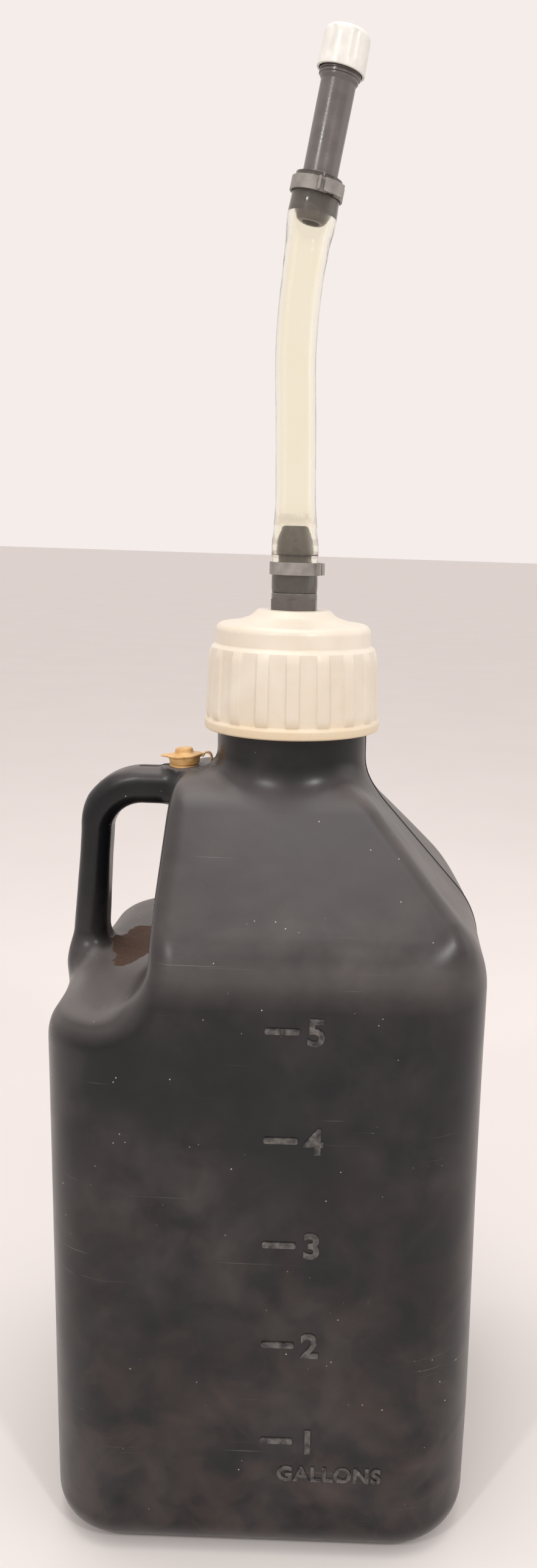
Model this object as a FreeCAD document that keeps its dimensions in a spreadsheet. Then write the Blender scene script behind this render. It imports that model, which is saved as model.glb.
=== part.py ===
import FreeCAD, Part
import math
import os

import Sketcher

# Square utility fluid jug with a screw cap, a short clear filler hose and a pouring nozzle.
# Frame: origin at the centre of the base, +Z up, +X away from the carrying handle, front face
# at -Y. Millimetres.

DIMENSIONS = [
    # Moulded jug
    ("body_half", 127),
    ("corner_radius", 45),
    ("base_radius", 22),
    ("wall", 3.5),
    ("column_top", 350),
    ("shoulder_bend", 372),
    ("bend_radius", 35),
    ("shoulder_rise", 47),
    ("crown_level", 459.5),
    ("hip_radius", 18),
    ("recess_wall", -65),
    ("recess_floor", 341),
    ("recess_floor_edge", 330),
    ("recess_blend", 30),
    ("handle_x", -115),
    ("handle_level", 447.7),
    ("handle_bend", 30),
    ("handle_thick", 23.5),
    ("handle_deep", 31),
    ("neck_x", 5),
    ("neck_radius", 46),
    ("neck_bore", 41.5),
    ("neck_flare", 12),
    ("neck_top", 530),
    ("thread_lead", 8),
    ("thread_rise", 22),
    ("neck_thread_z", 496),
    ("neck_thread_crest", 48.3),
    ("neck_thread_root", 2.2),
    ("neck_thread_land", 1.1),
    # Graduation marks on the front face
    ("mark_first", 81),
    ("mark_spacing", 64.6),
    ("mark_count", 5),
    ("mark_x", 3.3),
    ("mark_long", 19),
    ("mark_thick", 3.5),
    ("mark_raise", 1),
    ("digit_x", 26.5),
    ("digit_wide", 10),
    ("digit_tall", 15),
    ("digit_stroke", 2.6),
    ("word_z", 55),
    ("word_x", 14),
    ("letter_wide", 7.2),
    ("letter_tall", 9),
    ("letter_pitch", 9.9),
    ("letter_stroke", 1.6),
    # Screw cap
    ("cap_bottom", 486.6),
    ("cap_bore", 49.2),
    ("cap_rim", 54),
    ("cap_rim_tall", 6.5),
    ("cap_grip_low", 52),
    ("cap_grip_high", 50.4),
    ("cap_grip_top", 533),
    ("cap_step", 539),
    ("cap_band", 47.6),
    ("cap_band_round", 5),
    ("cap_band_top", 550),
    ("cap_dome", 35),
    ("cap_dome_level", 551.8),
    ("cap_flare", 20),
    ("cap_top", 559),
    ("cap_top_radius", 21),
    ("cap_seat", 532.5),
    ("cap_ceiling", 555),
    ("cap_grip_arc", 7),
    ("cap_under_dome", 34),
    ("cap_under_dome_rise", 13),
    ("cap_under_step", 42),
    ("cap_under_step_rise", 9),
    ("cap_ribs", 18),
    ("cap_rib_wide", 7.5),
    ("cap_rib_raise", 1.3),
    ("cap_rib_root", 1),
    ("cap_rib_corner", 1.2),
    ("cap_rest_turn", 5.4),
    ("cap_hole", 9.6),
    ("cap_thread_z", 492),
    ("cap_thread_crest", 46.7),
    ("cap_thread_root", 2.0),
    ("cap_thread_land", 1.0),
    ("gasket_inner", 40.5),
    ("gasket_outer", 48.7),
    # Bulkhead hose fitting in the cap
    ("shank_radius", 9.4),
    ("shank_bottom", 543),
    ("hex_flats", 27),
    ("hex_top", 565.6),
    ("shoulder_radius", 13.9),
    ("hose_bottom", 569.5),
    ("stem_radius", 11.1),
    ("barb_radius", 10.9),
    ("barb_base", 591),
    ("barb_top", 609),
    ("barb_tip", 7.6),
    ("barb_arc", 26),
    ("barb_groove", 1.3),
    ("fitting_bore", 6),
    ("washer_thick", 2.5),
    ("washer_radius", 17),
    ("nut_tall", 6.5),
    # Filler hose, drawn as a path in the plane of the handle
    ("hose_outer", 12),
    ("hose_inner", 9.25),
    ("hose_swell", 14),
    ("hose_mid_z", 650),
    ("hose_turn_x", 2.2),
    ("hose_turn_z", 735),
    ("nozzle_tilt", 11),
    ("hose_end", 68.8),
    ("hose_low_end", 43),
    ("hose_high_end", 36),
    ("hose_high_grip", 20),
    ("hose_slope", 3),
    # Nozzle, along its own axis from the hose's last turn
    ("nose_start", 44.5),
    ("nose_radius", 7.2),
    ("nose_arc", 9.5),
    ("nozzle_bore", 5.6),
    ("nozzle_barb", 10.7),
    ("nozzle_stem", 10.8),
    ("nozzle_tube", 10),
    ("collar_start", 121.8),
    ("collar_radius", 11.9),
    ("tip_start", 126.3),
    ("tip_core", 10.9),
    ("tip_end", 141.8),
    ("tip_lead", 3),
    ("tip_rise", 11),
    ("tip_thread_s", 129.0),
    ("tip_thread_crest", 11.85),
    ("tip_cap_start", 124.3),
    ("tip_cap_bore", 12.3),
    ("tip_cap_low", 13.8),
    ("tip_cap_high", 13.2),
    ("tip_cap_round", 4.5),
    ("tip_cap_end", 146.4),
    ("tip_cap_thread_crest", 11.35),
    ("tip_liner", 1.3),
    ("tip_flutes", 6),
    ("tip_flute_start", 2.5),
    ("tip_flute_long", 25),
    ("tip_flute_radius", 2.2),
    ("tip_flute_offset", 1.8),
    ("tip_thread_root", 0.7),
    ("tip_thread_land", 0.3),
    # Nylon snap clamps
    ("clamp_inner", 14),
    ("clamp_outer", 15.2),
    ("clamp_tall", 7.5),
    ("clamp_low_z", 580),
    ("clamp_high_s", 58.6),
    ("clamp_ear_reach", 18.2),
    ("clamp_ear_wide", 9),
    ("clamp_gap", 1),
    # Vent
    ("vent_x", -62),
    ("vent_barrel", 6.8),
    ("vent_bore", 4.7),
    ("vent_flange", 9.5),
    ("vent_flange_thick", 1.3),
    ("vent_barrel_long", 12),
    ("vent_boss", 14.5),
    ("lid_low", 9.3),
    ("lid_high", 11),
    ("lid_tall", 6.5),
    ("lid_knob", 5.2),
    ("lid_knob_tall", 4.3),
    ("lid_plug", 4.1),
    ("lid_plug_deep", 5),
    ("strap_wide", 3.2),
    ("strap_thick", 1.1),
    ("strap_radius", 2.6),
]

# Stroke ends of each character, in quarters of its width and height
GLYPHS = {
    "1": [(2, 0, 2, 4)],
    "2": [(0, 4, 4, 4), (4, 4, 4, 2), (4, 2, 0, 2), (0, 2, 0, 0), (0, 0, 4, 0)],
    "3": [(0, 4, 4, 4), (4, 4, 4, 0), (0, 2, 4, 2), (0, 0, 4, 0)],
    "4": [(0, 4, 0, 2), (0, 2, 4, 2), (4, 4, 4, 0)],
    "5": [(4, 4, 0, 4), (0, 4, 0, 2), (0, 2, 4, 2), (4, 2, 4, 0), (4, 0, 0, 0)],
    "G": [(4, 4, 0, 4), (0, 4, 0, 0), (0, 0, 4, 0), (4, 0, 4, 2), (4, 2, 2, 2)],
    "A": [(0, 0, 0, 4), (0, 4, 4, 4), (4, 4, 4, 0), (0, 2, 4, 2)],
    "L": [(0, 4, 0, 0), (0, 0, 4, 0)],
    "O": [(0, 0, 0, 4), (0, 4, 4, 4), (4, 4, 4, 0), (4, 0, 0, 0)],
    "N": [(0, 0, 0, 4), (0, 4, 4, 0), (4, 0, 4, 4)],
    "S": [(4, 4, 0, 4), (0, 4, 0, 2), (0, 2, 4, 2), (4, 2, 4, 0), (4, 0, 0, 0)],
}
UNIT_WORD = "GALLONS"


class Size:
    """A length that carries both its value and its spreadsheet expression."""

    def __init__(self, value, text):
        self.value = value
        self.text = text

    def join(self, other, sign, value):
        return Size(value, "(" + self.text + " " + sign + " " + size(other).text + ")")

    def __add__(self, other):
        return self.join(other, "+", self.value + size(other).value)

    def __sub__(self, other):
        return self.join(other, "-", self.value - size(other).value)

    def __mul__(self, other):
        return self.join(other, "*", self.value * size(other).value)

    def __truediv__(self, other):
        return self.join(other, "/", self.value / size(other).value)

    def __neg__(self):
        return Size(-self.value, "(0 - " + self.text + ")")


def size(quantity):
    if isinstance(quantity, Size):
        return quantity
    return Size(float(quantity), repr(float(quantity)))


doc = FreeCAD.newDocument("square_fluid_jug")
sheet = doc.addObject("Spreadsheet::Sheet", "dims")
for row, (name, value) in enumerate(DIMENSIONS, start=1):
    sheet.set("A" + str(row), name)
    sheet.set("B" + str(row), str(value))
    sheet.setAlias("B" + str(row), name)
doc.recompute()
D = {name: Size(float(value), "dims." + name) for name, value in DIMENSIONS}


# ---------------------------------------------------------------- drawing helpers

def bind(item, path, quantity):
    item.setExpression(path, size(quantity).text)


def new_body(label):
    body = doc.addObject("PartDesign::Body", label)
    body.Label = label
    return body


def plane_of(body, role):
    return [feature for feature in body.Origin.OriginFeatures if feature.Role == role][0]


def new_sketch(body, label, role, offset=None, shift=None):
    """Sketch on an origin plane, moved along the plane's normal or along its own x."""
    sketch = body.newObject("Sketcher::SketchObject", label)
    sketch.AttachmentSupport = [(plane_of(body, role), "")]
    sketch.MapMode = "FlatFace"
    if offset is not None:
        bind(sketch, ".AttachmentOffset.Base.z", offset)
    if shift is not None:
        bind(sketch, ".AttachmentOffset.Base.x", shift)
    return sketch


def fix_point(sketch, index, end, x, y):
    """Tie one end of a sketch element to expressions for its two coordinates."""
    for kind, axis, quantity in (("DistanceX", -2, size(x)), ("DistanceY", -1, size(y))):
        if abs(quantity.value) < 1e-9:
            sketch.addConstraint(Sketcher.Constraint("PointOnObject", index, end, axis))
            continue
        if quantity.value > 0:
            item = Sketcher.Constraint(kind, -1, 1, index, end, quantity.value)
        else:
            item = Sketcher.Constraint(kind, index, end, -1, 1, -quantity.value)
            quantity = -quantity
        number = sketch.addConstraint(item)
        bind(sketch, "Constraints[" + str(number) + "]", quantity)


def arc_between(first, last, radius, side):
    """Minor arc from first to last; side is +1 when its centre lies left of the chord."""
    span = last.sub(first)
    middle = (first + last) * 0.5
    normal = FreeCAD.Vector(-span.y, span.x, 0).normalize()
    reach = math.sqrt(max(radius * radius - span.Length ** 2 / 4, 0))
    centre = middle + normal * (reach * side)
    via = centre - normal * (radius * side)
    if side < 0:
        first, last = last, first
    return Part.Arc(first, via, last)


def draw(sketch, points, arcs=None, closed=True):
    """Outline through the points; arcs maps a side's number to its radius and bulge side."""
    arcs = arcs or {}
    corners = [FreeCAD.Vector(size(x).value, size(y).value, 0) for x, y in points]
    count = len(corners)
    ends = []
    for side in range(count if closed else count - 1):
        first, last = corners[side], corners[(side + 1) % count]
        if side in arcs:
            radius, bulge = arcs[side]
            index = sketch.addGeometry(arc_between(first, last, size(radius).value, bulge), False)
            turned = sketch.Geometry[index].StartPoint.distanceToPoint(first) > 1e-6
            ends.append((index, 2 if turned else 1, 1 if turned else 2))
            if first.distanceToPoint(last) < 2 * size(radius).value - 1e-6:
                number = sketch.addConstraint(Sketcher.Constraint("Radius", index,
                                                                  size(radius).value))
                bind(sketch, "Constraints[" + str(number) + "]", radius)
        else:
            index = sketch.addGeometry(Part.LineSegment(first, last), False)
            ends.append((index, 1, 2))
    for side, (index, start, stop) in enumerate(ends):
        fix_point(sketch, index, start, *points[side])
        if closed or side + 1 < len(ends):
            following = ends[(side + 1) % len(ends)]
            sketch.addConstraint(Sketcher.Constraint("Coincident", index, stop,
                                                     following[0], following[1]))
        else:
            fix_point(sketch, index, stop, *points[side + 1])
    return sketch


def revolve(body, label, points, arcs=None, shift=None):
    """Solid of revolution about Z from an outline of (radius, height) corners."""
    sketch = draw(new_sketch(body, label + "_outline", "XZ_Plane", None, shift), points, arcs)
    turned = body.newObject("PartDesign::Revolution", label)
    turned.Profile = sketch
    turned.ReferenceAxis = (sketch, ["V_Axis"])
    turned.Angle = 360
    doc.recompute()
    return turned


def helix(body, label, root, crest, start, root_half, crest_half, lead, rise, shift=None):
    """Thread ridge with a trapezoid section, wound round Z upward from a first height."""
    points = [(root, start - root_half), (crest, start - crest_half),
              (crest, start + crest_half), (root, start + root_half)]
    sketch = draw(new_sketch(body, label + "_section", "XZ_Plane", None, shift), points)
    ridge = body.newObject("PartDesign::AdditiveHelix", label)
    ridge.Profile = sketch
    ridge.ReferenceAxis = (sketch, ["V_Axis"])
    ridge.Mode = 0
    bind(ridge, "Pitch", lead)
    bind(ridge, "Height", rise)
    doc.recompute()
    return ridge


def pad(body, label, sketch, length, kind="PartDesign::Pad", midplane=False):
    feature = body.newObject(kind, label)
    feature.Profile = sketch
    bind(feature, "Length", length)
    feature.Midplane = midplane
    doc.recompute()
    return feature


def rounded_square(body, label, level, left, right, half, radius):
    """Horizontal outline between X = left and right and Y = -half and half, corners rounded."""
    points = [(left + radius, -half), (right - radius, -half), (right, radius - half),
              (right, half - radius), (right - radius, half), (left + radius, half),
              (left, half - radius), (left, radius - half)]
    arcs = {side: (radius, 1) for side in (1, 3, 5, 7)}
    return draw(new_sketch(body, label, "XY_Plane", level), points, arcs)


def draw_circle(body, label, level, x, radius):
    """Horizontal circle at a height, centred on the X axis."""
    sketch = new_sketch(body, label, "XY_Plane", level)
    middle = FreeCAD.Vector(size(x).value, 0, 0)
    up = FreeCAD.Vector(0, 0, 1)
    index = sketch.addGeometry(Part.Circle(middle, up, size(radius).value), False)
    fix_point(sketch, index, 3, x, 0)
    number = sketch.addConstraint(Sketcher.Constraint("Radius", index, size(radius).value))
    bind(sketch, "Constraints[" + str(number) + "]", radius)
    return sketch


def place(item, x=None, z=None, turn=None, axis=FreeCAD.Vector(0, 1, 0)):
    """Put a piece on its axis: turn it, by default so that it leans toward +X, and shift it."""
    if turn is not None:
        item.Placement.Rotation = FreeCAD.Rotation(axis, 1)
        bind(item, ".Placement.Rotation.Angle", turn)
    if x is not None:
        bind(item, ".Placement.Base.x", x)
    if z is not None:
        bind(item, ".Placement.Base.z", z)
    doc.recompute()


def primitive(kind, label, **quantities):
    item = doc.addObject("Part::" + kind, label)
    for name, quantity in quantities.items():
        bind(item, name, quantity)
    return item


def fuse(label, items):
    whole = doc.addObject("Part::MultiFuse", label)
    whole.Shapes = items
    whole.Label = label
    doc.recompute()
    return whole


def cut(label, base, tool):
    rest = doc.addObject("Part::Cut", label)
    rest.Base = base
    rest.Tool = tool
    rest.Label = label
    doc.recompute()
    return rest


# ---------------------------------------------------------------- moulded jug

def shoulder_sections(inset):
    """Heights and half widths of the shoulder, from the straight column to the crown."""
    rise = math.radians(D["shoulder_rise"].value)
    bend = D["bend_radius"] - inset
    turn = math.pi / 2 - rise
    start = D["shoulder_bend"] - D["bend_radius"] * math.tan(turn / 2)
    centre = D["body_half"] - D["bend_radius"]
    sections = [(D["column_top"], D["body_half"] - inset, D["corner_radius"] - inset)]
    for step, radius in ((0.0, 1.0), (0.34, 0.8), (0.67, 0.6), (1.0, 0.5)):
        angle = turn * step
        corner = (D["corner_radius"] - inset) * radius
        sections.append((start + bend * math.sin(angle), centre + bend * math.cos(angle), corner))
    slope_half = centre + bend * math.cos(turn)
    slope_level = start + bend * math.sin(turn)
    top = D["crown_level"] - D["neck_flare"] * 0.35 - inset
    for step, spread in ((0.3, 1.0), (0.6, 1.1), (0.85, 1.6), (1.0, 2.3)):
        level = slope_level + (top - slope_level) * step
        half = slope_half - (level - slope_level) / math.tan(rise)
        sections.append((level, half, D["hip_radius"] * spread - inset))
    return sections


def jug_form(label, inset):
    """The jug's outer form, or its cavity when inset by the wall thickness."""
    inset = size(inset)
    body = new_body(label)
    half = D["body_half"] - inset
    column = rounded_square(body, label + "_plan", inset, -half, half, half,
                            D["corner_radius"] - inset)
    upright = pad(body, label + "_column", column, D["column_top"] - inset)
    edges = ["Edge" + str(number + 1) for number, edge in enumerate(upright.Shape.Edges)
             if edge.BoundBox.ZMax < inset.value + 0.01]
    rounding = body.newObject("PartDesign::Fillet", label + "_base_rounding")
    rounding.Base = (upright, edges)
    bind(rounding, "Radius", D["base_radius"] - inset)
    doc.recompute()
    sketches = []
    for number, (level, side, radius) in enumerate(shoulder_sections(inset)):
        drift = D["neck_x"] * (max(number - 3, 0) / 5)
        left = -side if number < 7 else -(half - D["body_half"] * 0.44)
        sketches.append(rounded_square(body, label + "_section" + str(number), level,
                                       left, side + drift, side, radius))
    doc.recompute()
    shoulder = body.newObject("PartDesign::AdditiveLoft", label + "_shoulder")
    shoulder.Profile = sketches[0]
    shoulder.Sections = sketches[1:]
    doc.recompute()
    return body


def add_recess(body, label, inset):
    """Cut the open recess under the handle: an upright wall blended into a sloping floor."""
    wall = D["recess_wall"] + inset
    floor = D["recess_floor"] - inset
    blend = D["recess_blend"] + inset
    outside = -D["body_half"] * 1.1
    above = D["neck_top"]
    points = [(wall, above), (wall, floor + blend), (wall - blend, floor),
              (outside, D["recess_floor_edge"] - inset), (outside, above)]
    sketch = draw(new_sketch(body, label + "_recess_outline", "XZ_Plane"), points, {1: (blend, -1)})
    pocket = pad(body, label + "_recess", sketch, D["body_half"] * 2.2, "PartDesign::Pocket", True)
    return pocket


def add_handle(body, label, inset):
    """Sweep the handle's oval section level from the neck and then down to the recess floor."""
    root = D["vent_x"] + 18
    bend_x = D["handle_x"] + D["handle_bend"]
    path = [(root, D["handle_level"]), (bend_x, D["handle_level"]),
            (D["handle_x"], D["handle_level"] - D["handle_bend"]),
            (D["handle_x"], D["recess_floor"] - 16)]
    spine = draw(new_sketch(body, label + "_handle_path", "XZ_Plane"), path,
                 {1: (D["handle_bend"], 1)}, False)
    deep = D["handle_deep"] / 2 - inset
    thick = D["handle_thick"] / 2 - inset
    round_off = thick * 0.92
    low = D["handle_level"] - thick
    high = D["handle_level"] + thick
    points = [(round_off - deep, low), (deep - round_off, low), (deep, low + round_off),
              (deep, high - round_off), (deep - round_off, high), (round_off - deep, high),
              (-deep, high - round_off), (-deep, low + round_off)]
    section = draw(new_sketch(body, label + "_handle_section", "YZ_Plane", root), points,
                   {side: (round_off, 1) for side in (1, 3, 5, 7)})
    doc.recompute()
    tube = body.newObject("PartDesign::AdditivePipe", label + "_handle")
    tube.Profile = section
    tube.Spine = spine
    doc.recompute()
    return tube


def stroke(x, z, line, wide, tall, thick, deep):
    """One raised bar between two points of a character cell, on the front face."""
    x0, z0, x1, z1 = (value / 4 for value in line)
    run_x, run_z = (x1 - x0) * wide, (z1 - z0) * tall
    long = math.hypot(run_x, run_z)
    bar = Part.makeBox(long + thick, 2 * deep, thick)
    bar.translate(FreeCAD.Vector(-thick / 2, -deep, -thick / 2))
    bar.rotate(FreeCAD.Vector(), FreeCAD.Vector(0, -1, 0), math.degrees(math.atan2(run_z, run_x)))
    bar.translate(FreeCAD.Vector(x + x0 * wide, -D["body_half"].value, z + z0 * tall))
    return bar


def front_marks():
    """Graduation bars with their numbers, and the word for the unit."""
    raised = D["mark_raise"].value
    bars = []
    for number in range(int(D["mark_count"].value)):
        level = D["mark_first"].value + number * D["mark_spacing"].value
        tick = Part.makeBox(D["mark_long"].value, 2 * raised, D["mark_thick"].value)
        tick.translate(FreeCAD.Vector(D["mark_x"].value, -D["body_half"].value - raised,
                                      level - D["mark_thick"].value / 2))
        bars.append(tick)
        for line in GLYPHS[str(number + 1)]:
            bars.append(stroke(D["digit_x"].value, level - D["digit_tall"].value / 2, line,
                               D["digit_wide"].value, D["digit_tall"].value,
                               D["digit_stroke"].value, raised))
    for place_number, letter in enumerate(UNIT_WORD):
        for line in GLYPHS[letter]:
            bars.append(stroke(D["word_x"].value + place_number * D["letter_pitch"].value,
                               D["word_z"].value, line, D["letter_wide"].value,
                               D["letter_tall"].value, D["letter_stroke"].value, raised))
    marks = doc.addObject("Part::Feature", "front_marks")
    marks.Shape = bars[0].multiFuse(bars[1:])
    return marks


def make_jug():
    outer = jug_form("jug_outer", 0)
    add_recess(outer, "jug_outer", size(0))
    add_handle(outer, "jug_outer", size(0))
    boss = draw_circle(outer, "jug_boss_plan", D["crown_level"] - 18, D["vent_x"], D["vent_boss"])
    pad(outer, "jug_boss", boss, 18)
    flare_top = D["crown_level"] + 4.5
    flare_side = D["neck_radius"] + D["neck_flare"] * 0.281
    flare_low = flare_top - D["neck_flare"] * 0.695
    base = D["crown_level"] - 12
    neck = [(0, base), (D["neck_radius"] - 2, base), (flare_side, flare_low),
            (D["neck_radius"], flare_top), (D["neck_radius"], D["neck_top"] - 1),
            (D["neck_radius"] - 1, D["neck_top"]), (0, D["neck_top"])]
    revolve(outer, "jug_neck", neck, {2: (D["neck_flare"], -1)}, D["neck_x"])
    helix(outer, "jug_thread", D["neck_radius"] - 0.4, D["neck_thread_crest"], D["neck_thread_z"],
          D["neck_thread_root"], D["neck_thread_land"], D["thread_lead"], D["thread_rise"], D["neck_x"])
    void = jug_form("jug_void", D["wall"])
    add_recess(void, "jug_void", D["wall"])
    add_handle(void, "jug_void", D["wall"])
    bore = [(0, base - 14), (D["neck_bore"], base - 14), (D["neck_bore"], D["neck_top"] + 5),
            (0, D["neck_top"] + 5)]
    revolve(void, "jug_bore", bore, None, D["neck_x"])
    hole = draw_circle(void, "vent_hole_plan", D["crown_level"] - 10, D["vent_x"], D["vent_barrel"])
    pad(void, "vent_hole", hole, 15)
    solid = fuse("jug_solid", [outer, front_marks()])
    return cut("jug_body", solid, void)


# ---------------------------------------------------------------- vent in the crown

def make_vent():
    level = D["crown_level"]
    flange = level + D["vent_flange_thick"]
    body = new_body("vent_bushing_turned")
    foot = level - D["vent_barrel_long"]
    points = [(D["vent_bore"], foot), (D["vent_barrel"], foot), (D["vent_barrel"], level),
              (D["vent_flange"], level), (D["vent_flange"], flange), (D["vent_bore"], flange)]
    revolve(body, "bushing", points)
    place(body, D["vent_x"])
    tab = primitive("Box", "bushing_tab", Length=D["vent_flange"] - D["vent_bore"] + 6.5,
                    Width=D["strap_wide"] + 0.8, Height=D["vent_flange_thick"] - 0.3)
    place(tab, D["vent_x"] + D["vent_bore"] + 1, level + 0.15)
    bind(tab, ".Placement.Base.y", -(D["strap_wide"] + 0.8) / 2)
    bushing = fuse("vent_bushing", [body, tab])

    lid_body = new_body("vent_lid_turned")
    high = flange + D["lid_tall"]
    knob = high + D["lid_knob_tall"]
    points = [(0, flange - D["lid_plug_deep"]), (D["lid_plug"] - 0.7, flange - D["lid_plug_deep"]),
              (D["lid_plug"], flange), (D["lid_low"], flange), (D["lid_high"], high - 1.6),
              (D["lid_high"], high - 0.4), (D["lid_high"] - 0.4, high), (D["lid_knob"] + 0.3, high),
              (D["lid_knob"], knob - 2.2), (D["lid_knob"] - 2.2, knob), (0, knob)]
    revolve(lid_body, "lid", points, {8: (2.2, 1)})
    place(lid_body, D["vent_x"])
    pull = primitive("Box", "lid_pull_tab", Length=D["lid_high"] - D["lid_knob"] + 2,
                     Width=D["strap_wide"] + 2, Height=1.2)
    place(pull, D["vent_x"] - D["lid_high"] - 3.6, high - 1.5)
    bind(pull, ".Placement.Base.y", -(D["strap_wide"] + 2) / 2)
    lug = primitive("Box", "lid_lug", Length=3, Width=D["strap_wide"], Height=2.2)
    place(lug, D["vent_x"] + D["lid_high"] - 2.4, high - 2.3)
    bind(lug, ".Placement.Base.y", -D["strap_wide"] / 2)
    lid = fuse("vent_lid", [lid_body, pull, lug])

    strap_body = new_body("vent_strap")
    left = D["lid_high"] + 0.6
    outer = D["strap_radius"]
    inner = outer - D["strap_thick"]
    middle = left + outer
    foot = flange - 0.15
    points = [(left, high - 2), (left + D["strap_thick"], high - 2),
              (left + D["strap_thick"], high - 1), (middle + inner, high - 1),
              (middle + inner, foot), (middle + outer, foot),
              (middle + outer, high - 1), (left, high - 1)]
    sketch = draw(new_sketch(strap_body, "strap_outline", "XZ_Plane"), points,
                  {2: (inner, -1), 6: (outer, 1)})
    pad(strap_body, "strap_band", sketch, D["strap_wide"], "PartDesign::Pad", True)
    place(strap_body, D["vent_x"])
    return [bushing, lid, strap_body]


# ---------------------------------------------------------------- screw cap and its fitting

def make_main_cap():
    body = new_body("main_cap")
    rim_top = D["cap_bottom"] + D["cap_rim_tall"]
    points = [(D["cap_bore"], D["cap_bottom"]), (D["cap_rim"], D["cap_bottom"]),
              (D["cap_rim"], rim_top - 1), (D["cap_grip_low"], rim_top),
              (D["cap_grip_high"], D["cap_grip_top"]), (D["cap_band"] + 0.4, D["cap_step"]),
              (D["cap_band"], D["cap_step"]),
              (D["cap_band"], D["cap_band_top"] - D["cap_band_round"]),
              (D["cap_band"] - D["cap_band_round"], D["cap_band_top"]),
              (D["cap_dome"], D["cap_dome_level"]), (D["cap_top_radius"], D["cap_top"]),
              (D["cap_hole"], D["cap_top"]), (D["cap_hole"], D["cap_ceiling"]),
              (D["washer_radius"] + 1, D["cap_ceiling"]),
              (D["washer_radius"] + 1, D["cap_ceiling"] - 3),
              (D["cap_under_dome"], D["cap_seat"] + D["cap_under_dome_rise"]),
              (D["cap_under_step"], D["cap_seat"] + D["cap_under_step_rise"]),
              (D["cap_under_step"], D["cap_seat"]), (D["cap_bore"], D["cap_seat"])]
    arcs = {4: (D["cap_grip_arc"], 1), 7: (D["cap_band_round"], 1), 9: (D["cap_flare"], -1)}
    revolve(body, "cap_shell", points, arcs)
    sections = []
    for level, reach in ((rim_top, D["cap_grip_low"]), (D["cap_grip_top"] - 1, D["cap_grip_high"])):
        side = D["cap_rib_wide"] / 2
        crest = reach + D["cap_rib_raise"]
        root = reach - D["cap_rib_root"]
        corner = D["cap_rib_corner"]
        outline = [(root, -side), (crest - corner, -side), (crest, corner - side),
                   (crest, side - corner), (crest - corner, side), (root, side)]
        sketch = new_sketch(body, "cap_rib_section" + str(len(sections)), "XY_Plane", level)
        sections.append(draw(sketch, outline, {1: (corner, 1), 3: (corner, 1)}))
    rib = body.newObject("PartDesign::AdditiveLoft", "cap_rib")
    rib.Profile = sections[0]
    rib.Sections = sections[1:]
    doc.recompute()
    ring = body.newObject("PartDesign::PolarPattern", "cap_rib_ring")
    ring.Originals = [rib]
    ring.Axis = (plane_of(body, "Z_Axis"), [""])
    ring.Angle = 360
    bind(ring, "Occurrences", D["cap_ribs"])
    body.Tip = ring
    doc.recompute()
    helix(body, "cap_thread", D["cap_bore"] + 0.4, D["cap_thread_crest"], D["cap_thread_z"],
          D["cap_thread_root"], D["cap_thread_land"], D["thread_lead"], D["thread_rise"])
    place(body, D["neck_x"], None, D["cap_rest_turn"], FreeCAD.Vector(0, 0, -1))

    gasket = new_body("cap_gasket")
    points = [(D["gasket_inner"], D["neck_top"]), (D["gasket_outer"], D["neck_top"]),
              (D["gasket_outer"], D["cap_seat"]), (D["gasket_inner"], D["cap_seat"])]
    revolve(gasket, "gasket_ring", points)
    place(gasket, D["neck_x"])
    return [body, gasket]


def hexagon(label, flats, level, tall):
    nut = primitive("Prism", label, Circumradius=flats / math.sqrt(3), Height=tall)
    nut.Polygon = 6
    place(nut, D["neck_x"], level)
    return nut


def make_fitting():
    stem = new_body("fitting_stem")
    points = [(0, D["shank_bottom"]), (D["shank_radius"], D["shank_bottom"]),
              (D["shank_radius"], D["cap_top"]), (D["shoulder_radius"] - 1, D["cap_top"]),
              (D["shoulder_radius"], D["hex_top"]), (D["shoulder_radius"], D["hose_bottom"]),
              (D["stem_radius"], D["hose_bottom"]), (D["stem_radius"], D["barb_base"] - 3),
              (D["stem_radius"] - D["barb_groove"], D["barb_base"] - 2),
              (D["stem_radius"] - D["barb_groove"], D["barb_base"]),
              (D["barb_radius"], D["barb_base"]), (D["barb_tip"], D["barb_top"]),
              (0, D["barb_top"])]
    revolve(stem, "stem", points, {10: (D["barb_arc"], 1)})
    place(stem, D["neck_x"])
    collar = hexagon("fitting_hex", D["hex_flats"], D["cap_top"], D["hex_top"] - D["cap_top"])
    bore = primitive("Cylinder", "fitting_bore_tool", Radius=D["fitting_bore"],
                     Height=D["barb_top"] - D["shank_bottom"] + 10)
    place(bore, D["neck_x"], D["shank_bottom"] - 5)
    fitting = cut("hose_fitting", fuse("fitting_solid", [stem, collar]), bore)

    under = D["cap_ceiling"] - D["washer_thick"]
    washer = new_body("fitting_seal_washer")
    points = [(D["cap_hole"], under), (D["washer_radius"], under),
              (D["washer_radius"], D["cap_ceiling"]), (D["cap_hole"], D["cap_ceiling"])]
    revolve(washer, "washer_ring", points)
    place(washer, D["neck_x"])

    nut = hexagon("lock_nut_blank", D["hex_flats"], under - D["nut_tall"], D["nut_tall"])
    hole = primitive("Cylinder", "lock_nut_hole", Radius=D["shank_radius"], Height=D["nut_tall"] + 2)
    place(hole, D["neck_x"], under - D["nut_tall"] - 1)
    return [fitting, washer, cut("fitting_lock_nut", nut, hole)]


# ---------------------------------------------------------------- hose, nozzle and clamps

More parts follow.
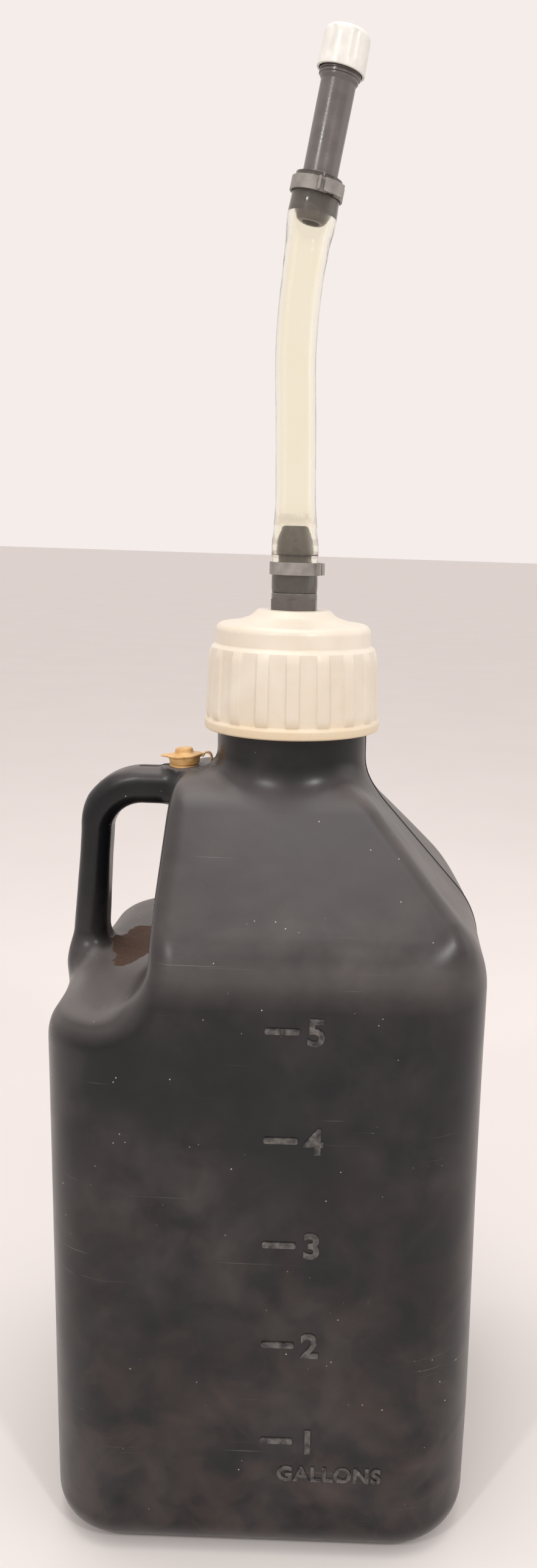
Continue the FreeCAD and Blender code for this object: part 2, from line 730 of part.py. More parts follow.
def hose_route():
    """Route corners of the hose's middle line, and the direction of its last run."""
    tilt = math.radians(D["nozzle_tilt"].value)
    leave = FreeCAD.Vector(math.sin(tilt), 0, math.cos(tilt))
    start = FreeCAD.Vector(D["neck_x"].value, 0, D["hose_bottom"].value)
    middle = FreeCAD.Vector(D["neck_x"].value, 0, D["hose_mid_z"].value)
    turn = FreeCAD.Vector(D["hose_turn_x"].value, 0, D["hose_turn_z"].value)
    return [start, middle, turn, turn + leave * D["hose_end"].value]


def hose_middle_wire(first_cut, last_cut):
    """Straight runs joined by tangent arcs, shortened at both ends."""
    corners = hose_route()
    runs = [(corners[i + 1] - corners[i]) for i in range(3)]
    ways = [FreeCAD.Vector(run).normalize() for run in runs]
    pieces = []
    here = corners[0] + ways[0] * first_cut
    for number in (1, 2):
        before, after = ways[number - 1], ways[number]
        half_turn = before.getAngle(after) / 2
        trim = 0.45 * min(runs[number - 1].Length, runs[number].Length)
        enter = corners[number] - before * trim
        leave = corners[number] + after * trim
        bisector = (after - before).normalize()
        radius = trim / math.tan(half_turn)
        crown = corners[number] + bisector * (radius / math.cos(half_turn) - radius)
        pieces.append(Part.LineSegment(here, enter).toShape())
        pieces.append(Part.Arc(enter, crown, leave).toShape())
        here = leave
    pieces.append(Part.LineSegment(here, corners[3] - ways[2] * last_cut).toShape())
    return Part.Wire(pieces), ways


def ring_sleeve(outline, base, direction):
    """Turn an outline of (radius, distance) about a run of the hose, starting at its base."""
    corners = [FreeCAD.Vector(radius, 0, along) for radius, along in outline]
    face = Part.Face(Part.makePolygon(corners + corners[:1]))
    sleeve = face.revolve(FreeCAD.Vector(), FreeCAD.Vector(0, 0, 1), 360)
    sleeve.Placement = FreeCAD.Placement(base, FreeCAD.Rotation(FreeCAD.Vector(0, 0, 1), direction))
    return sleeve


def make_hose():
    """Clear tube whose two ends are stretched over the barbs."""
    low_end = D["hose_low_end"].value
    high_end = D["hose_high_end"].value
    high_grip = D["hose_high_grip"].value
    wire, ways = hose_middle_wire(low_end, high_end)
    corners = hose_route()
    start = corners[0] + ways[0] * low_end
    tubes = []
    for radius in (D["hose_outer"].value, D["hose_inner"].value):
        ring = Part.Wire(Part.Circle(start, ways[0], radius).toShape())
        tubes.append(wire.makePipeShell([ring], True, False))
    middle = tubes[0].cut(tubes[1])
    outer, inner = D["hose_outer"].value, D["hose_inner"].value
    swell, stem = D["hose_swell"].value, D["stem_radius"].value
    grip = (D["barb_base"] - D["hose_bottom"]).value
    slope = D["hose_slope"].value
    low = ring_sleeve([(stem, 0), (swell, 0), (swell, grip + slope), (outer, low_end),
                       (inner, low_end), (stem, grip + slope)], corners[0], ways[0])
    high = ring_sleeve([(stem, 0), (swell, 0), (swell, high_grip), (outer, high_end),
                        (inner, high_end), (stem, high_grip + slope)], corners[3], -ways[2])
    hose = doc.addObject("Part::Feature", "filler_hose")
    hose.Shape = low.multiFuse([middle, high]).removeSplitter()
    hose.Label = "filler_hose"
    return hose


def make_nozzle():
    nozzle = new_body("pour_nozzle")
    seat = D["hose_end"]
    points = [(D["nozzle_bore"], D["nose_start"]), (D["nose_radius"], D["nose_start"]),
              (D["nozzle_barb"], D["nose_start"] + 8), (D["nozzle_stem"], D["nose_start"] + 12),
              (D["nozzle_stem"], seat), (D["nozzle_tube"], seat + 1),
              (D["nozzle_tube"], D["collar_start"] - 1.5), (D["collar_radius"], D["collar_start"]),
              (D["collar_radius"], D["tip_start"]), (D["tip_core"], D["tip_start"]),
              (D["tip_core"], D["tip_end"]), (D["nozzle_bore"] + 1.5, D["tip_end"]),
              (D["nozzle_bore"] + 1.5, D["tip_start"])]
    revolve(nozzle, "nozzle_tube_wall", points, {1: (D["nose_arc"], 1)})
    helix(nozzle, "nozzle_thread", D["tip_core"] - 0.3, D["tip_thread_crest"], D["tip_thread_s"],
          D["tip_thread_root"], D["tip_thread_land"], D["tip_lead"], D["tip_rise"])
    place(nozzle, D["hose_turn_x"], D["hose_turn_z"], D["nozzle_tilt"])

    cap = new_body("nozzle_cap")
    ceiling = D["tip_end"] + D["tip_liner"]
    points = [(D["tip_cap_bore"], D["tip_cap_start"]), (D["tip_cap_low"], D["tip_cap_start"]),
              (D["tip_cap_high"], D["tip_cap_end"] - D["tip_cap_round"]),
              (D["tip_cap_high"] - D["tip_cap_round"], D["tip_cap_end"]),
              (0, D["tip_cap_end"]), (0, ceiling), (D["tip_cap_bore"], ceiling)]
    shell = revolve(cap, "tip_cap_shell", points, {2: (D["tip_cap_round"], 1)})
    flute = draw_circle(cap, "tip_cap_flute_plan", D["tip_cap_start"] + D["tip_flute_start"],
                        D["tip_cap_high"] + D["tip_flute_offset"], D["tip_flute_radius"])
    groove = pad(cap, "tip_cap_flute", flute, D["tip_flute_long"], "PartDesign::Pocket")
    groove.Reversed = True
    doc.recompute()
    if abs(cap.Shape.Volume - shell.Shape.Volume) < 1:
        raise RuntimeError("nozzle cap flute cuts nothing")
    ring = cap.newObject("PartDesign::PolarPattern", "tip_cap_flutes")
    ring.Originals = [groove]
    ring.Axis = (plane_of(cap, "Z_Axis"), [""])
    ring.Angle = 360
    bind(ring, "Occurrences", D["tip_flutes"])
    cap.Tip = ring
    doc.recompute()
    helix(cap, "tip_cap_thread", D["tip_cap_bore"] + 0.3, D["tip_cap_thread_crest"],
          D["tip_thread_s"] - D["tip_lead"] / 2, D["tip_thread_root"], D["tip_thread_land"],
          D["tip_lead"], D["tip_rise"])
    place(cap, D["hose_turn_x"], D["hose_turn_z"], D["nozzle_tilt"])

    liner = new_body("nozzle_cap_liner")
    points = [(0, D["tip_end"]), (D["tip_cap_bore"] - 0.4, D["tip_end"]),
              (D["tip_cap_bore"] - 0.4, ceiling), (0, ceiling)]
    revolve(liner, "liner_disc", points)
    place(liner, D["hose_turn_x"], D["hose_turn_z"], D["nozzle_tilt"])
    return [nozzle, cap, liner]


def make_clamp(label, start):
    """Snap band with a latch block on one side, split by a narrow gap; its axis is Z."""
    band = primitive("Cylinder", label + "_band", Radius=D["clamp_outer"], Height=D["clamp_tall"])
    latch = primitive("Box", label + "_latch", Length=D["clamp_ear_reach"] - D["clamp_inner"] + 2,
                      Width=D["clamp_ear_wide"], Height=D["clamp_tall"])
    bore = primitive("Cylinder", label + "_bore", Radius=D["clamp_inner"],
                     Height=D["clamp_tall"] + 2)
    gap = primitive("Box", label + "_gap", Length=D["clamp_ear_reach"], Width=D["clamp_gap"],
                    Height=D["clamp_tall"] + 2)
    bind(band, ".Placement.Base.z", start)
    bind(latch, ".Placement.Base.x", D["clamp_inner"] - 2)
    bind(latch, ".Placement.Base.y", -D["clamp_ear_wide"] / 2)
    bind(latch, ".Placement.Base.z", start)
    bind(bore, ".Placement.Base.z", start - 1)
    bind(gap, ".Placement.Base.y", -D["clamp_gap"] / 2)
    bind(gap, ".Placement.Base.z", start - 1)
    solid = fuse(label + "_solid", [band, latch])
    return cut(label, cut(label + "_ring", solid, bore), gap)


def make_clamps():
    low = make_clamp("lower_hose_clamp", D["clamp_low_z"])
    place(low, D["neck_x"])
    high = make_clamp("upper_hose_clamp", D["clamp_high_s"])
    place(high, D["hose_turn_x"], D["hose_turn_z"], D["nozzle_tilt"])
    return [low, high]


# ---------------------------------------------------------------- whole assembly

def main():
    nodes = [make_jug()]
    nodes += make_vent()
    nodes += make_main_cap()
    nodes += make_fitting()
    nodes.append(make_hose())
    nodes += make_nozzle()
    nodes += make_clamps()
    doc.recompute()
    for item in doc.Objects:
        if "Invalid" in item.State or "Error" in item.State:
            raise RuntimeError(item.Name + " failed")
    for node in nodes:
        if node.Shape.isNull() or not node.Shape.isValid():
            raise RuntimeError(node.Label + " has no valid shape")
    os.makedirs("parts", exist_ok=True)
    for node in nodes:
        node.Shape.exportStep("parts/" + node.Label + ".step")


main()
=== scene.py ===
import math

import bmesh
import bpy
import numpy as np
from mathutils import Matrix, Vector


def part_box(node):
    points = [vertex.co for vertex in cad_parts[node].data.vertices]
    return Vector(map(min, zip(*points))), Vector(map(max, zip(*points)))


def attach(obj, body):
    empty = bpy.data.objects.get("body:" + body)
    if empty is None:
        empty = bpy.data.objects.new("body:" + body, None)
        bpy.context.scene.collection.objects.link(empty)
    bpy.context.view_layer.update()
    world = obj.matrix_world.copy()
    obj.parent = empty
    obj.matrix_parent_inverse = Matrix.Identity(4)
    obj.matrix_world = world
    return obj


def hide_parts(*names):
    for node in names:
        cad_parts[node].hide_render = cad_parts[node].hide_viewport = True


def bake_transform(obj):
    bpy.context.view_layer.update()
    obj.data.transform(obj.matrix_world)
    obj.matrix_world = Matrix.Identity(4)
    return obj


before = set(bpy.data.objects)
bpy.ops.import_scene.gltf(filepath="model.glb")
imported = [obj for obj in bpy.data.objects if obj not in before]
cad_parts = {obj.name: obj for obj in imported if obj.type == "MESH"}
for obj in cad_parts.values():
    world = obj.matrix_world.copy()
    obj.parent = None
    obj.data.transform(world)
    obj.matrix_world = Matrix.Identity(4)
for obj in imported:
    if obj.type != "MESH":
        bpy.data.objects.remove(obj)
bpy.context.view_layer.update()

import openvdb
from mathutils import Matrix, Vector

# Square black utility fluid jug with an ivory screw cap, a clear filler hose and a capped nozzle.
# Shapes are drawn in millimetres and turned into metres by the mesh builders.

MM = 0.001


def middle(node):
    """Centre of a CAD node's box, in millimetres."""
    low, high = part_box(node)
    return (Vector(low) + Vector(high)) / (2 * MM)


def low_of(node):
    return Vector(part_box(node)[0]) / MM


def high_of(node):
    return Vector(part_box(node)[1]) / MM


HALF = high_of("jug_body").x
NECK_TOP = high_of("jug_body").z
NECK_X = middle("cap_gasket").x
NECK_RADIUS = 46.0
NECK_BORE = 41.5
CROWN = low_of("vent_bushing").z + 12.0
VENT_X = -62.0
HOSE_LOW = low_of("filler_hose").z

# The nozzle's axis leaves its pivot at a tilt; places along it are distances from the pivot.
TILT = math.radians(11)
NOZZLE_PIVOT = Vector((2.2, 0, 735))
NOZZLE_AXIS = Vector((math.sin(TILT), 0, math.cos(TILT)))
HOSE_TOP = 68.8
NOZZLE_NOSE = 44.5
NOZZLE_COLLAR = 126.3
NOZZLE_TIP = 141.6
UPPER_CLAMP = 58.6


# ---------------------------------------------------------------- camera, light and floor

def make_camera():
    """Camera at a person's height, turned by its yaw, pitch and roll in degrees."""
    yaw, pitch, roll = (math.radians(angle) for angle in (-0.35, 11.99, 1.86))
    forward = Vector((math.sin(yaw) * math.cos(pitch), math.cos(yaw) * math.cos(pitch),
                      -math.sin(pitch)))
    level = Vector((math.cos(yaw), -math.sin(yaw), 0))
    upright = level.cross(forward)
    right = level * math.cos(roll) + upright * math.sin(roll)
    top = upright * math.cos(roll) - level * math.sin(roll)
    data = bpy.data.cameras.new("camera")
    data.lens = 26.98
    data.shift_x = -0.0695
    data.clip_start = 0.01
    camera = bpy.data.objects.new("camera", data)
    turn = Matrix((right, top, -forward)).transposed().to_4x4()
    camera.matrix_world = Matrix.Translation((0.06379, -0.72397, 0.60564)) @ turn
    bpy.context.collection.objects.link(camera)
    bpy.context.scene.camera = camera


def area_light(name, place, target, size, power):
    data = bpy.data.lights.new(name, "AREA")
    data.shape = "RECTANGLE"
    data.size, data.size_y = size
    data.energy = power
    light = bpy.data.objects.new(name, data)
    light.location = place
    light.rotation_euler = (Vector(target) - Vector(place)).to_track_quat("-Z", "Y").to_euler()
    bpy.context.collection.objects.link(light)


def make_light():
    """A broad soft light overhead, two small lamps in front and a pale wall to the right."""
    area_light("overhead", (-0.15, -0.1, 2.2), (0, 0, 0.3), (1.3, 0.9), 13)
    area_light("right_lamp", (0.85, -1.3, 1.6), (0, 0, 0.45), (0.12, 0.2), 8)
    area_light("left_lamp", (-0.75, -1.4, 1.6), (0, 0, 0.45), (0.1, 0.16), 7)
    area_light("right_wall", (1.7, 0.3, 1.0), (0, 0, 0.4), (1.2, 1.2), 3)
    world = bpy.data.worlds.new("studio")
    world.use_nodes = True
    shade = world.node_tree.nodes["Background"]
    shade.inputs["Color"].default_value = (0.98, 0.91, 0.88, 1)
    shade.inputs["Strength"].default_value = 0.93
    bpy.context.scene.world = world
    bpy.context.scene.view_settings.view_transform = "Standard"


# ---------------------------------------------------------------- materials

class Finish:
    """A material being put together from nodes; sizes in its textures are in metres."""

    def __init__(self, name, colour, roughness, values=None):
        self.material = bpy.data.materials.new(name)
        self.material.use_nodes = True
        self.tree = self.material.node_tree
        self.shader = self.tree.nodes["Principled BSDF"]
        self.place = self.tree.nodes.new("ShaderNodeTexCoord").outputs["Object"]
        self.shader.inputs["Base Color"].default_value = (*colour, 1)
        self.shader.inputs["Roughness"].default_value = roughness
        for name, value in (values or {}).items():
            self.shader.inputs[name].default_value = value

    def node(self, kind, settings=None, **links):
        node = self.tree.nodes.new("ShaderNode" + kind)
        for name, value in (settings or {}).items():
            setattr(node, name, value)
        for name, value in links.items():
            socket = node.inputs[int(name[1:])] if name[1:].isdigit() else node.inputs[name]
            if isinstance(value, bpy.types.NodeSocket):
                self.tree.links.new(value, socket)
            else:
                socket.default_value = value
        return node

    def stretched(self, scale, turn=(0, 0, 0)):
        """The object's coordinates, turned and scaled."""
        node = self.node("Mapping", None, Vector=self.place, Scale=scale, Rotation=turn)
        return node.outputs["Vector"]

    def noise(self, scale, detail=3.0, place=None, distortion=0.0):
        node = self.node("TexNoise", None, Vector=place or self.place, Scale=scale,
                         Detail=detail, Distortion=distortion)
        return node.outputs["Fac"]

    def cells(self, scale):
        """Distance from the nearest of many scattered points."""
        node = self.node("TexVoronoi", None, Vector=self.place, Scale=scale)
        return node.outputs["Distance"]

    def spread(self, value, low, high, to_low=0.0, to_high=1.0):
        """Value from low to high becomes to_low to to_high, held beyond both."""
        node = self.node("MapRange", None, Value=value)
        for name, number in (("From Min", low), ("From Max", high),
                             ("To Min", to_low), ("To Max", to_high)):
            node.inputs[name].default_value = number
        return node.outputs["Result"]

    def calc(self, operation, first, second=0.0):
        return self.node("Math", {"operation": operation}, _0=first, _1=second).outputs[0]

    def mix(self, share, first, second):
        """Colour from first to second by share."""
        node = self.node("MixRGB", None, Fac=share)
        for name, value in (("Color1", first), ("Color2", second)):
            if isinstance(value, bpy.types.NodeSocket):
                self.tree.links.new(value, node.inputs[name])
            else:
                node.inputs[name].default_value = (*value, 1)
        return node.outputs["Color"]

    def position(self):
        """X, Y and Z of the object's own coordinates."""
        return self.node("SeparateXYZ", None, Vector=self.place).outputs

    def facing_up(self):
        normal = self.node("NewGeometry").outputs["Normal"]
        return self.node("SeparateXYZ", None, Vector=normal).outputs["Z"]

    def set(self, name, value):
        self.tree.links.new(value, self.shader.inputs[name])

    def bump(self, height, depth):
        """Relief whose full height is depth metres."""
        node = self.node("Bump", None, Height=height, Distance=depth)
        self.tree.links.new(node.outputs["Normal"], self.shader.inputs["Normal"])


def dust_and_light_share(m, cloudy):
    """Dust lies on upward faces, which are partly lightened as painted light from above; a painted
    highlight runs along the shoulder's bend, and painted shade keeps the handle's upright dark.
    """
    x, _, z = m.position()
    broad = m.noise(9, 4, distortion=0.6)
    haze = m.calc("MULTIPLY", m.spread(broad, 0.36, 0.68), m.spread(cloudy, 0.3, 0.75))
    # Upward faces get lighter, flat ones most: settled dust, and partly painted light from above on
    # the sloping facets.
    upward_dust_and_light = m.calc("ADD", m.spread(m.facing_up(), 0.15, 0.6, 0.0, 0.36),
                     m.spread(m.facing_up(), 0.74, 0.98, 0.0, 0.8))
    # Painted highlight: a lighter band along the front and right of the shoulder's bend, standing
    # in for the overhead light's reflection.
    bend = m.calc("MULTIPLY", m.spread(z, 0.350, 0.366), m.spread(z, 0.390, 0.372, 0.0, 0.45))
    bend = m.calc("MULTIPLY", bend, m.spread(x, -0.07, -0.05))
    dust_and_painted_light = m.calc("ADD", m.calc("MULTIPLY", haze, 0.35), m.calc("MAXIMUM", upward_dust_and_light, bend))
    # Painted shade: the handle's upright keeps only three tenths of the lighter mix, so it stays
    # dark as if in shadow.
    handle_shade = m.calc("MULTIPLY", m.spread(x, -0.100, -0.108), m.spread(z, 0.355, 0.385))
    return m.calc("MULTIPLY", dust_and_painted_light, m.spread(handle_shade, 0.0, 1.0, 1.0, 0.3))


def scuff_share(m):
    """Fine scratches in three directions, in scattered places."""
    scuffs = []
    for turn, length, limit in ((0.15, 9, 0.715), (-0.9, 7, 0.73), (1.1, 12, 0.735)):
        lines = m.stretched((length, 30, 520), (0, turn, 0))
        scuffs.append(m.spread(m.noise(1.0, 2, lines, 0.2), limit, limit + 0.05))
    scuff = m.calc("MAXIMUM", m.calc("MAXIMUM", scuffs[0], scuffs[1]), scuffs[2])
    return m.calc("MULTIPLY", scuff, m.spread(m.noise(16, 2), 0.48, 0.6))


def soil_share(m):
    """One ragged patch of dried earth on the recess floor behind the handle's foot."""
    centre, closeness = (-0.094, 0.004, 0.346), (65, 26, 38)
    spot = m.node("VectorMath", {"operation": "SUBTRACT"}, _0=m.place, _1=centre)
    spot = m.node("VectorMath", {"operation": "MULTIPLY"}, _0=spot.outputs[0], _1=closeness)
    spot = m.node("VectorMath", {"operation": "LENGTH"}, _0=spot.outputs[0])
    ragged = m.spread(m.noise(70, 3), 0.2, 0.8, -0.35, 0.35)
    return m.spread(m.calc("ADD", spot.outputs["Value"], ragged), 1.05, 0.95)


def black_polyethylene():
    """Dusty, scuffed black plastic with an earth stain under the handle, and painted highlight and
    shade mixed into its dust.
    """
    m = Finish("black_polyethylene", (0.02, 0.021, 0.025), 0.42, {"Specular IOR Level": 0.34})
    cloudy = m.noise(38, 5, distortion=0.3)
    dust_and_painted_light, scuff, soil = dust_and_light_share(m, cloudy), scuff_share(m), soil_share(m)
    # The lighter mix carries dust, a painted highlight on the shoulder's bend, painted light on
    # upward faces and painted shade on the handle.
    colour = m.mix(dust_and_painted_light, (0.004, 0.0041, 0.0055), (0.1, 0.088, 0.084))
    earth = m.calc("MULTIPLY", m.spread(m.position()["Z"], 0.30, 0.04, 0.0, 1.0),
                   m.spread(m.noise(34, 8, distortion=0.6), 0.4, 0.75, 0.0, 0.5))
    colour = m.mix(earth, colour, (0.085, 0.055, 0.045))
    colour = m.mix(m.calc("MULTIPLY", scuff, 0.22), colour, (0.24, 0.225, 0.21))
    specks = m.calc("MULTIPLY", m.spread(m.cells(150), 0.075, 0.03),
                    m.spread(m.noise(33, 1), 0.55, 0.6))
    colour = m.mix(specks, colour, (0.5, 0.47, 0.43))
    dirt = m.mix(m.noise(420, 3), (0.045, 0.024, 0.016), (0.12, 0.07, 0.048))
    m.set("Base Color", m.mix(soil, colour, dirt))
    rough = m.calc("ADD", m.spread(cloudy, 0.3, 0.7, 0.24, 0.3), m.calc("MULTIPLY", dust_and_painted_light, 0.14))
    m.set("Roughness", m.calc("MAXIMUM", rough, m.calc("MULTIPLY", soil, 0.92)))
    relief = m.calc("ADD", m.calc("MULTIPLY", m.noise(950, 2), 0.07),
                    m.calc("MULTIPLY", m.noise(60, 1), 0.4))
    relief = m.calc("ADD", relief, m.calc("MULTIPLY", soil, m.noise(300, 3)))
    m.bump(m.calc("SUBTRACT", relief, m.calc("MULTIPLY", scuff, 0.1)), 0.0003)
    return m.material


def worn_polyethylene():
    """The raised marks, scuffed to a lighter grey along their edges."""
    m = Finish("worn_polyethylene", (0.1, 0.095, 0.09), 0.5)
    wear = m.spread(m.noise(210, 4, distortion=0.6), 0.36, 0.66)
    m.set("Base Color", m.mix(wear, (0.012, 0.012, 0.013), (0.11, 0.10, 0.092)))
    m.bump(m.noise(500, 3), 0.0002)
    return m.material


def ivory_polyethylene():
    """Waxy, slightly yellowed plastic, tanner along its lower rim."""
    m = Finish("ivory_polyethylene", (0.8, 0.72, 0.58), 0.36,
               {"Subsurface Weight": 0.25, "Subsurface Radius": (0.012, 0.008, 0.005)})
    base = low_of("main_cap").z * MM
    cloudy = m.noise(34, 4, distortion=0.5)
    colour = m.mix(m.spread(cloudy, 0.3, 0.7), (0.66, 0.585, 0.475), (0.71, 0.65, 0.555))
    rim = m.calc("ADD", m.position()["Z"], m.spread(m.noise(45, 3), 0.3, 0.7, -0.002, 0.002))
    rim = m.spread(rim, base + 0.012, base + 0.003)
    colour = m.mix(m.calc("MULTIPLY", rim, 0.75), colour, (0.66, 0.53, 0.35))
    grime = m.calc("MULTIPLY", m.spread(m.noise(120, 4, distortion=0.8), 0.6, 0.75),
                   m.spread(m.noise(14, 2), 0.5, 0.62))
    colour = m.mix(m.calc("MULTIPLY", grime, 0.3), colour, (0.36, 0.27, 0.17))
    m.set("Base Color", colour)
    m.set("Roughness", m.spread(m.noise(60, 3), 0.3, 0.7, 0.3, 0.44))
    m.bump(m.calc("ADD", m.noise(240, 2), m.calc("MULTIPLY", m.noise(900, 2), 0.3)), 0.00012)
    return m.material


def amber_plastic():
    """Translucent amber moulding, dirty in its corners."""
    m = Finish("amber_plastic", (0.60, 0.34, 0.12), 0.34,
               {"Subsurface Weight": 0.35, "Subsurface Radius": (0.006, 0.003, 0.001)})
    cloudy = m.noise(160, 4, distortion=0.5)
    colour = m.mix(m.spread(cloudy, 0.3, 0.7), (0.52, 0.28, 0.09), (0.74, 0.48, 0.21))
    grime = m.spread(m.noise(420, 3), 0.62, 0.74, 0.0, 0.5)
    m.set("Base Color", m.mix(grime, colour, (0.16, 0.09, 0.04)))
    m.set("Roughness", m.spread(cloudy, 0.3, 0.7, 0.28, 0.46))
    m.bump(m.noise(700, 2), 0.0001)
    return m.material


def clear_vinyl():
    """Clear hose wall, yellowed with age, with faint lengthwise draw lines."""
    m = Finish("clear_vinyl", (0.97, 0.90, 0.66), 0.06, {"Transmission Weight": 1.0, "IOR": 1.45})
    cloudy = m.noise(30, 3)
    m.set("Base Color", m.mix(m.spread(cloudy, 0.3, 0.7), (0.988, 0.972, 0.89),
                              (0.984, 0.958, 0.85)))
    lines = m.noise(1.0, 2, m.stretched((520, 520, 5)))
    m.set("Roughness", m.spread(lines, 0.3, 0.75, 0.04, 0.12))
    m.bump(m.calc("ADD", m.calc("MULTIPLY", lines, 0.6), m.noise(90, 2)), 0.00012)
    return m.material


def grey_nylon():
    """Semi-gloss grey-brown moulding, with light scuffs."""
    m = Finish("grey_nylon", (0.11, 0.098, 0.092), 0.26)
    cloudy = m.noise(90, 4, distortion=0.4)
    colour = m.mix(m.spread(cloudy, 0.3, 0.72), (0.095, 0.083, 0.078), (0.125, 0.110, 0.102))
    scuff = m.spread(m.noise(1.0, 3, m.stretched((60, 60, 700), (0.3, 0.2, 0))), 0.68, 0.78)
    m.set("Base Color", m.mix(m.calc("MULTIPLY", scuff, 0.3), colour, (0.34, 0.31, 0.28)))
    m.set("Roughness", m.spread(cloudy, 0.3, 0.7, 0.2, 0.36))
    m.bump(m.calc("ADD", m.noise(180, 2), m.calc("MULTIPLY", m.noise(1100, 2), 0.4)), 0.0001)
    return m.material


def clamp_nylon():
    """Pale grey nylon strip, slightly matt."""
    m = Finish("clamp_nylon", (0.30, 0.28, 0.265), 0.45)
    cloudy = m.noise(150, 4)
    m.set("Base Color", m.mix(m.spread(cloudy, 0.3, 0.7), (0.185, 0.168, 0.158),
                              (0.28, 0.26, 0.24)))
    m.set("Roughness", m.spread(cloudy, 0.3, 0.7, 0.38, 0.55))
    m.bump(m.noise(1300, 2), 0.00008)
    return m.material


def white_plastic():
    """Off-white moulding with a little grime."""
    m = Finish("white_plastic", (0.84, 0.82, 0.78), 0.3,
               {"Subsurface Weight": 0.15, "Subsurface Radius": (0.006, 0.005, 0.004)})
    cloudy = m.noise(120, 4)
    colour = m.mix(m.spread(cloudy, 0.3, 0.7), (0.64, 0.62, 0.575), (0.72, 0.705, 0.67))
    grime = m.spread(m.noise(300, 4, distortion=0.6), 0.66, 0.78, 0.0, 0.35)
    m.set("Base Color", m.mix(grime, colour, (0.42, 0.36, 0.28)))
    m.set("Roughness", m.spread(cloudy, 0.3, 0.7, 0.26, 0.4))
    m.bump(m.noise(800, 2), 0.00006)
    return m.material


def seal_rubber():
    """Matt black rubber."""
    m = Finish("seal_rubber", (0.025, 0.025, 0.026), 0.75)
    cloudy = m.noise(400, 4)
    m.set("Base Color", m.mix(cloudy, (0.018, 0.018, 0.019), (0.05, 0.048, 0.046)))
    m.bump(m.noise(1500, 2), 0.0001)
    return m.material


def seal_foam():
    """Pale closed-cell foam."""
    m = Finish("seal_foam", (0.8, 0.78, 0.7), 0.85)
    pores = m.cells(1600)
    m.set("Base Color", m.mix(pores, (0.6, 0.56, 0.48), (0.86, 0.84, 0.78)))
    m.bump(pores, 0.0002)
    return m.material


def floor_paint():
    """Plain pale floor."""
    m = Finish("pale_floor", (0.86, 0.85, 0.84), 0.75)
    cloudy = m.noise(4, 4)
    m.set("Base Color", m.mix(cloudy, (0.74, 0.70, 0.68), (0.79, 0.75, 0.73)))
    return m.material


MATERIALS = {make.__name__: make() for make in (
    black_polyethylene, ivory_polyethylene, amber_plastic, clear_vinyl, grey_nylon, clamp_nylon,
    white_plastic, seal_rubber, seal_foam)}


# ---------------------------------------------------------------- mesh builders

def new_piece(name, slot, body, points, faces, sharp=32, bevel=0.0, normals=None):
    """A mesh piece from points in millimetres, riding on a body."""
    mesh = bpy.data.meshes.new(name)
    mesh.from_pydata([tuple(c * MM for c in point) for point in points], [], faces)
    if normals is None:
        work = bmesh.new()
        work.from_mesh(mesh)
        bmesh.ops.remove_doubles(work, verts=work.verts, dist=1e-7)
        bmesh.ops.recalc_face_normals(work, faces=work.faces)
        work.to_mesh(mesh)
        work.free()
    mesh.shade_smooth()
    if normals is None:
        mesh.set_sharp_from_angle(angle=math.radians(sharp))
    else:
        mesh.normals_split_custom_set_from_vertices(normals)
    mesh.materials.append(MATERIALS[slot])
    piece = bpy.data.objects.new(name, mesh)
    bpy.context.collection.objects.link(piece)
    if bevel:
        rounding = piece.modifiers.new("rounding", "BEVEL")
        rounding.width = bevel * MM
        rounding.segments = 2
        rounding.limit_method = "ANGLE"
        rounding.harden_normals = True
    if body:
        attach(piece, body)
    return piece


def polar(radius, degrees):
    angle = math.radians(degrees)
    return (radius * math.cos(angle), radius * math.sin(angle))


def rounded(corners, closed=True):
    """Outline through (x, z, rounding) corners, in which each rounded corner is an arc."""
    outline = []
    count = len(corners)
    for number, (x, z, radius) in enumerate(corners):
        here = Vector((x, z))
        if not radius or (not closed and number in (0, count - 1)):
            outline.append(here)
            continue
        back = (Vector(corners[number - 1][:2]) - here).normalized()
        ahead = (Vector(corners[(number + 1) % count][:2]) - here).normalized()
        half = back.angle(ahead) / 2
        centre = here + (back + ahead).normalized() * (radius / math.sin(half))
        arm = here + back * (radius / math.tan(half)) - centre
        turn = (math.pi - 2 * half) * (1 if back.x * ahead.y - back.y * ahead.x < 0 else -1)
        steps = max(2, round(abs(turn) / math.radians(12)))
        for step in range(steps + 1):
            angle = turn * step / steps
            outline.append(centre + Vector((arm.x * math.cos(angle) - arm.y * math.sin(angle),
                                            arm.x * math.sin(angle) + arm.y * math.cos(angle))))
    return outline


def divided(outline, spacing):
    """Outline whose tall, steep stretches are cut up, so that they can follow a swell."""
    points = outline[:1]
    for start, point in zip(outline, outline[1:]):
        if abs(point.x - start.x) < 3 and abs(point.y - start.y) > 8:
            steps = round(abs(point.y - start.y) / spacing)
            points += [start.lerp(point, step / steps) for step in range(1, steps)]
        points.append(point)
    return points


def even_turn(count):
    return [2 * math.pi * step / count for step in range(count)]


def band_faces(here, above, around):
    """Faces between two rings of points, given each ring's first point."""
    faces = []
    for step in range(around):
        after = (step + 1) % around
        faces.append((here + step, here + after, above + after, above + step))
    return faces


def rod(rows):
    """Points and faces of a bar through rows of points that go round it, closed at both ends."""
    around, last = len(rows[0]), len(rows) - 1
    points = [point for row in rows for point in row]
    faces = [tuple(range(around)),
             tuple(last * around + corner for corner in reversed(range(around)))]
    for row in range(last):
        faces += band_faces(row * around, (row + 1) * around, around)
    return points, faces


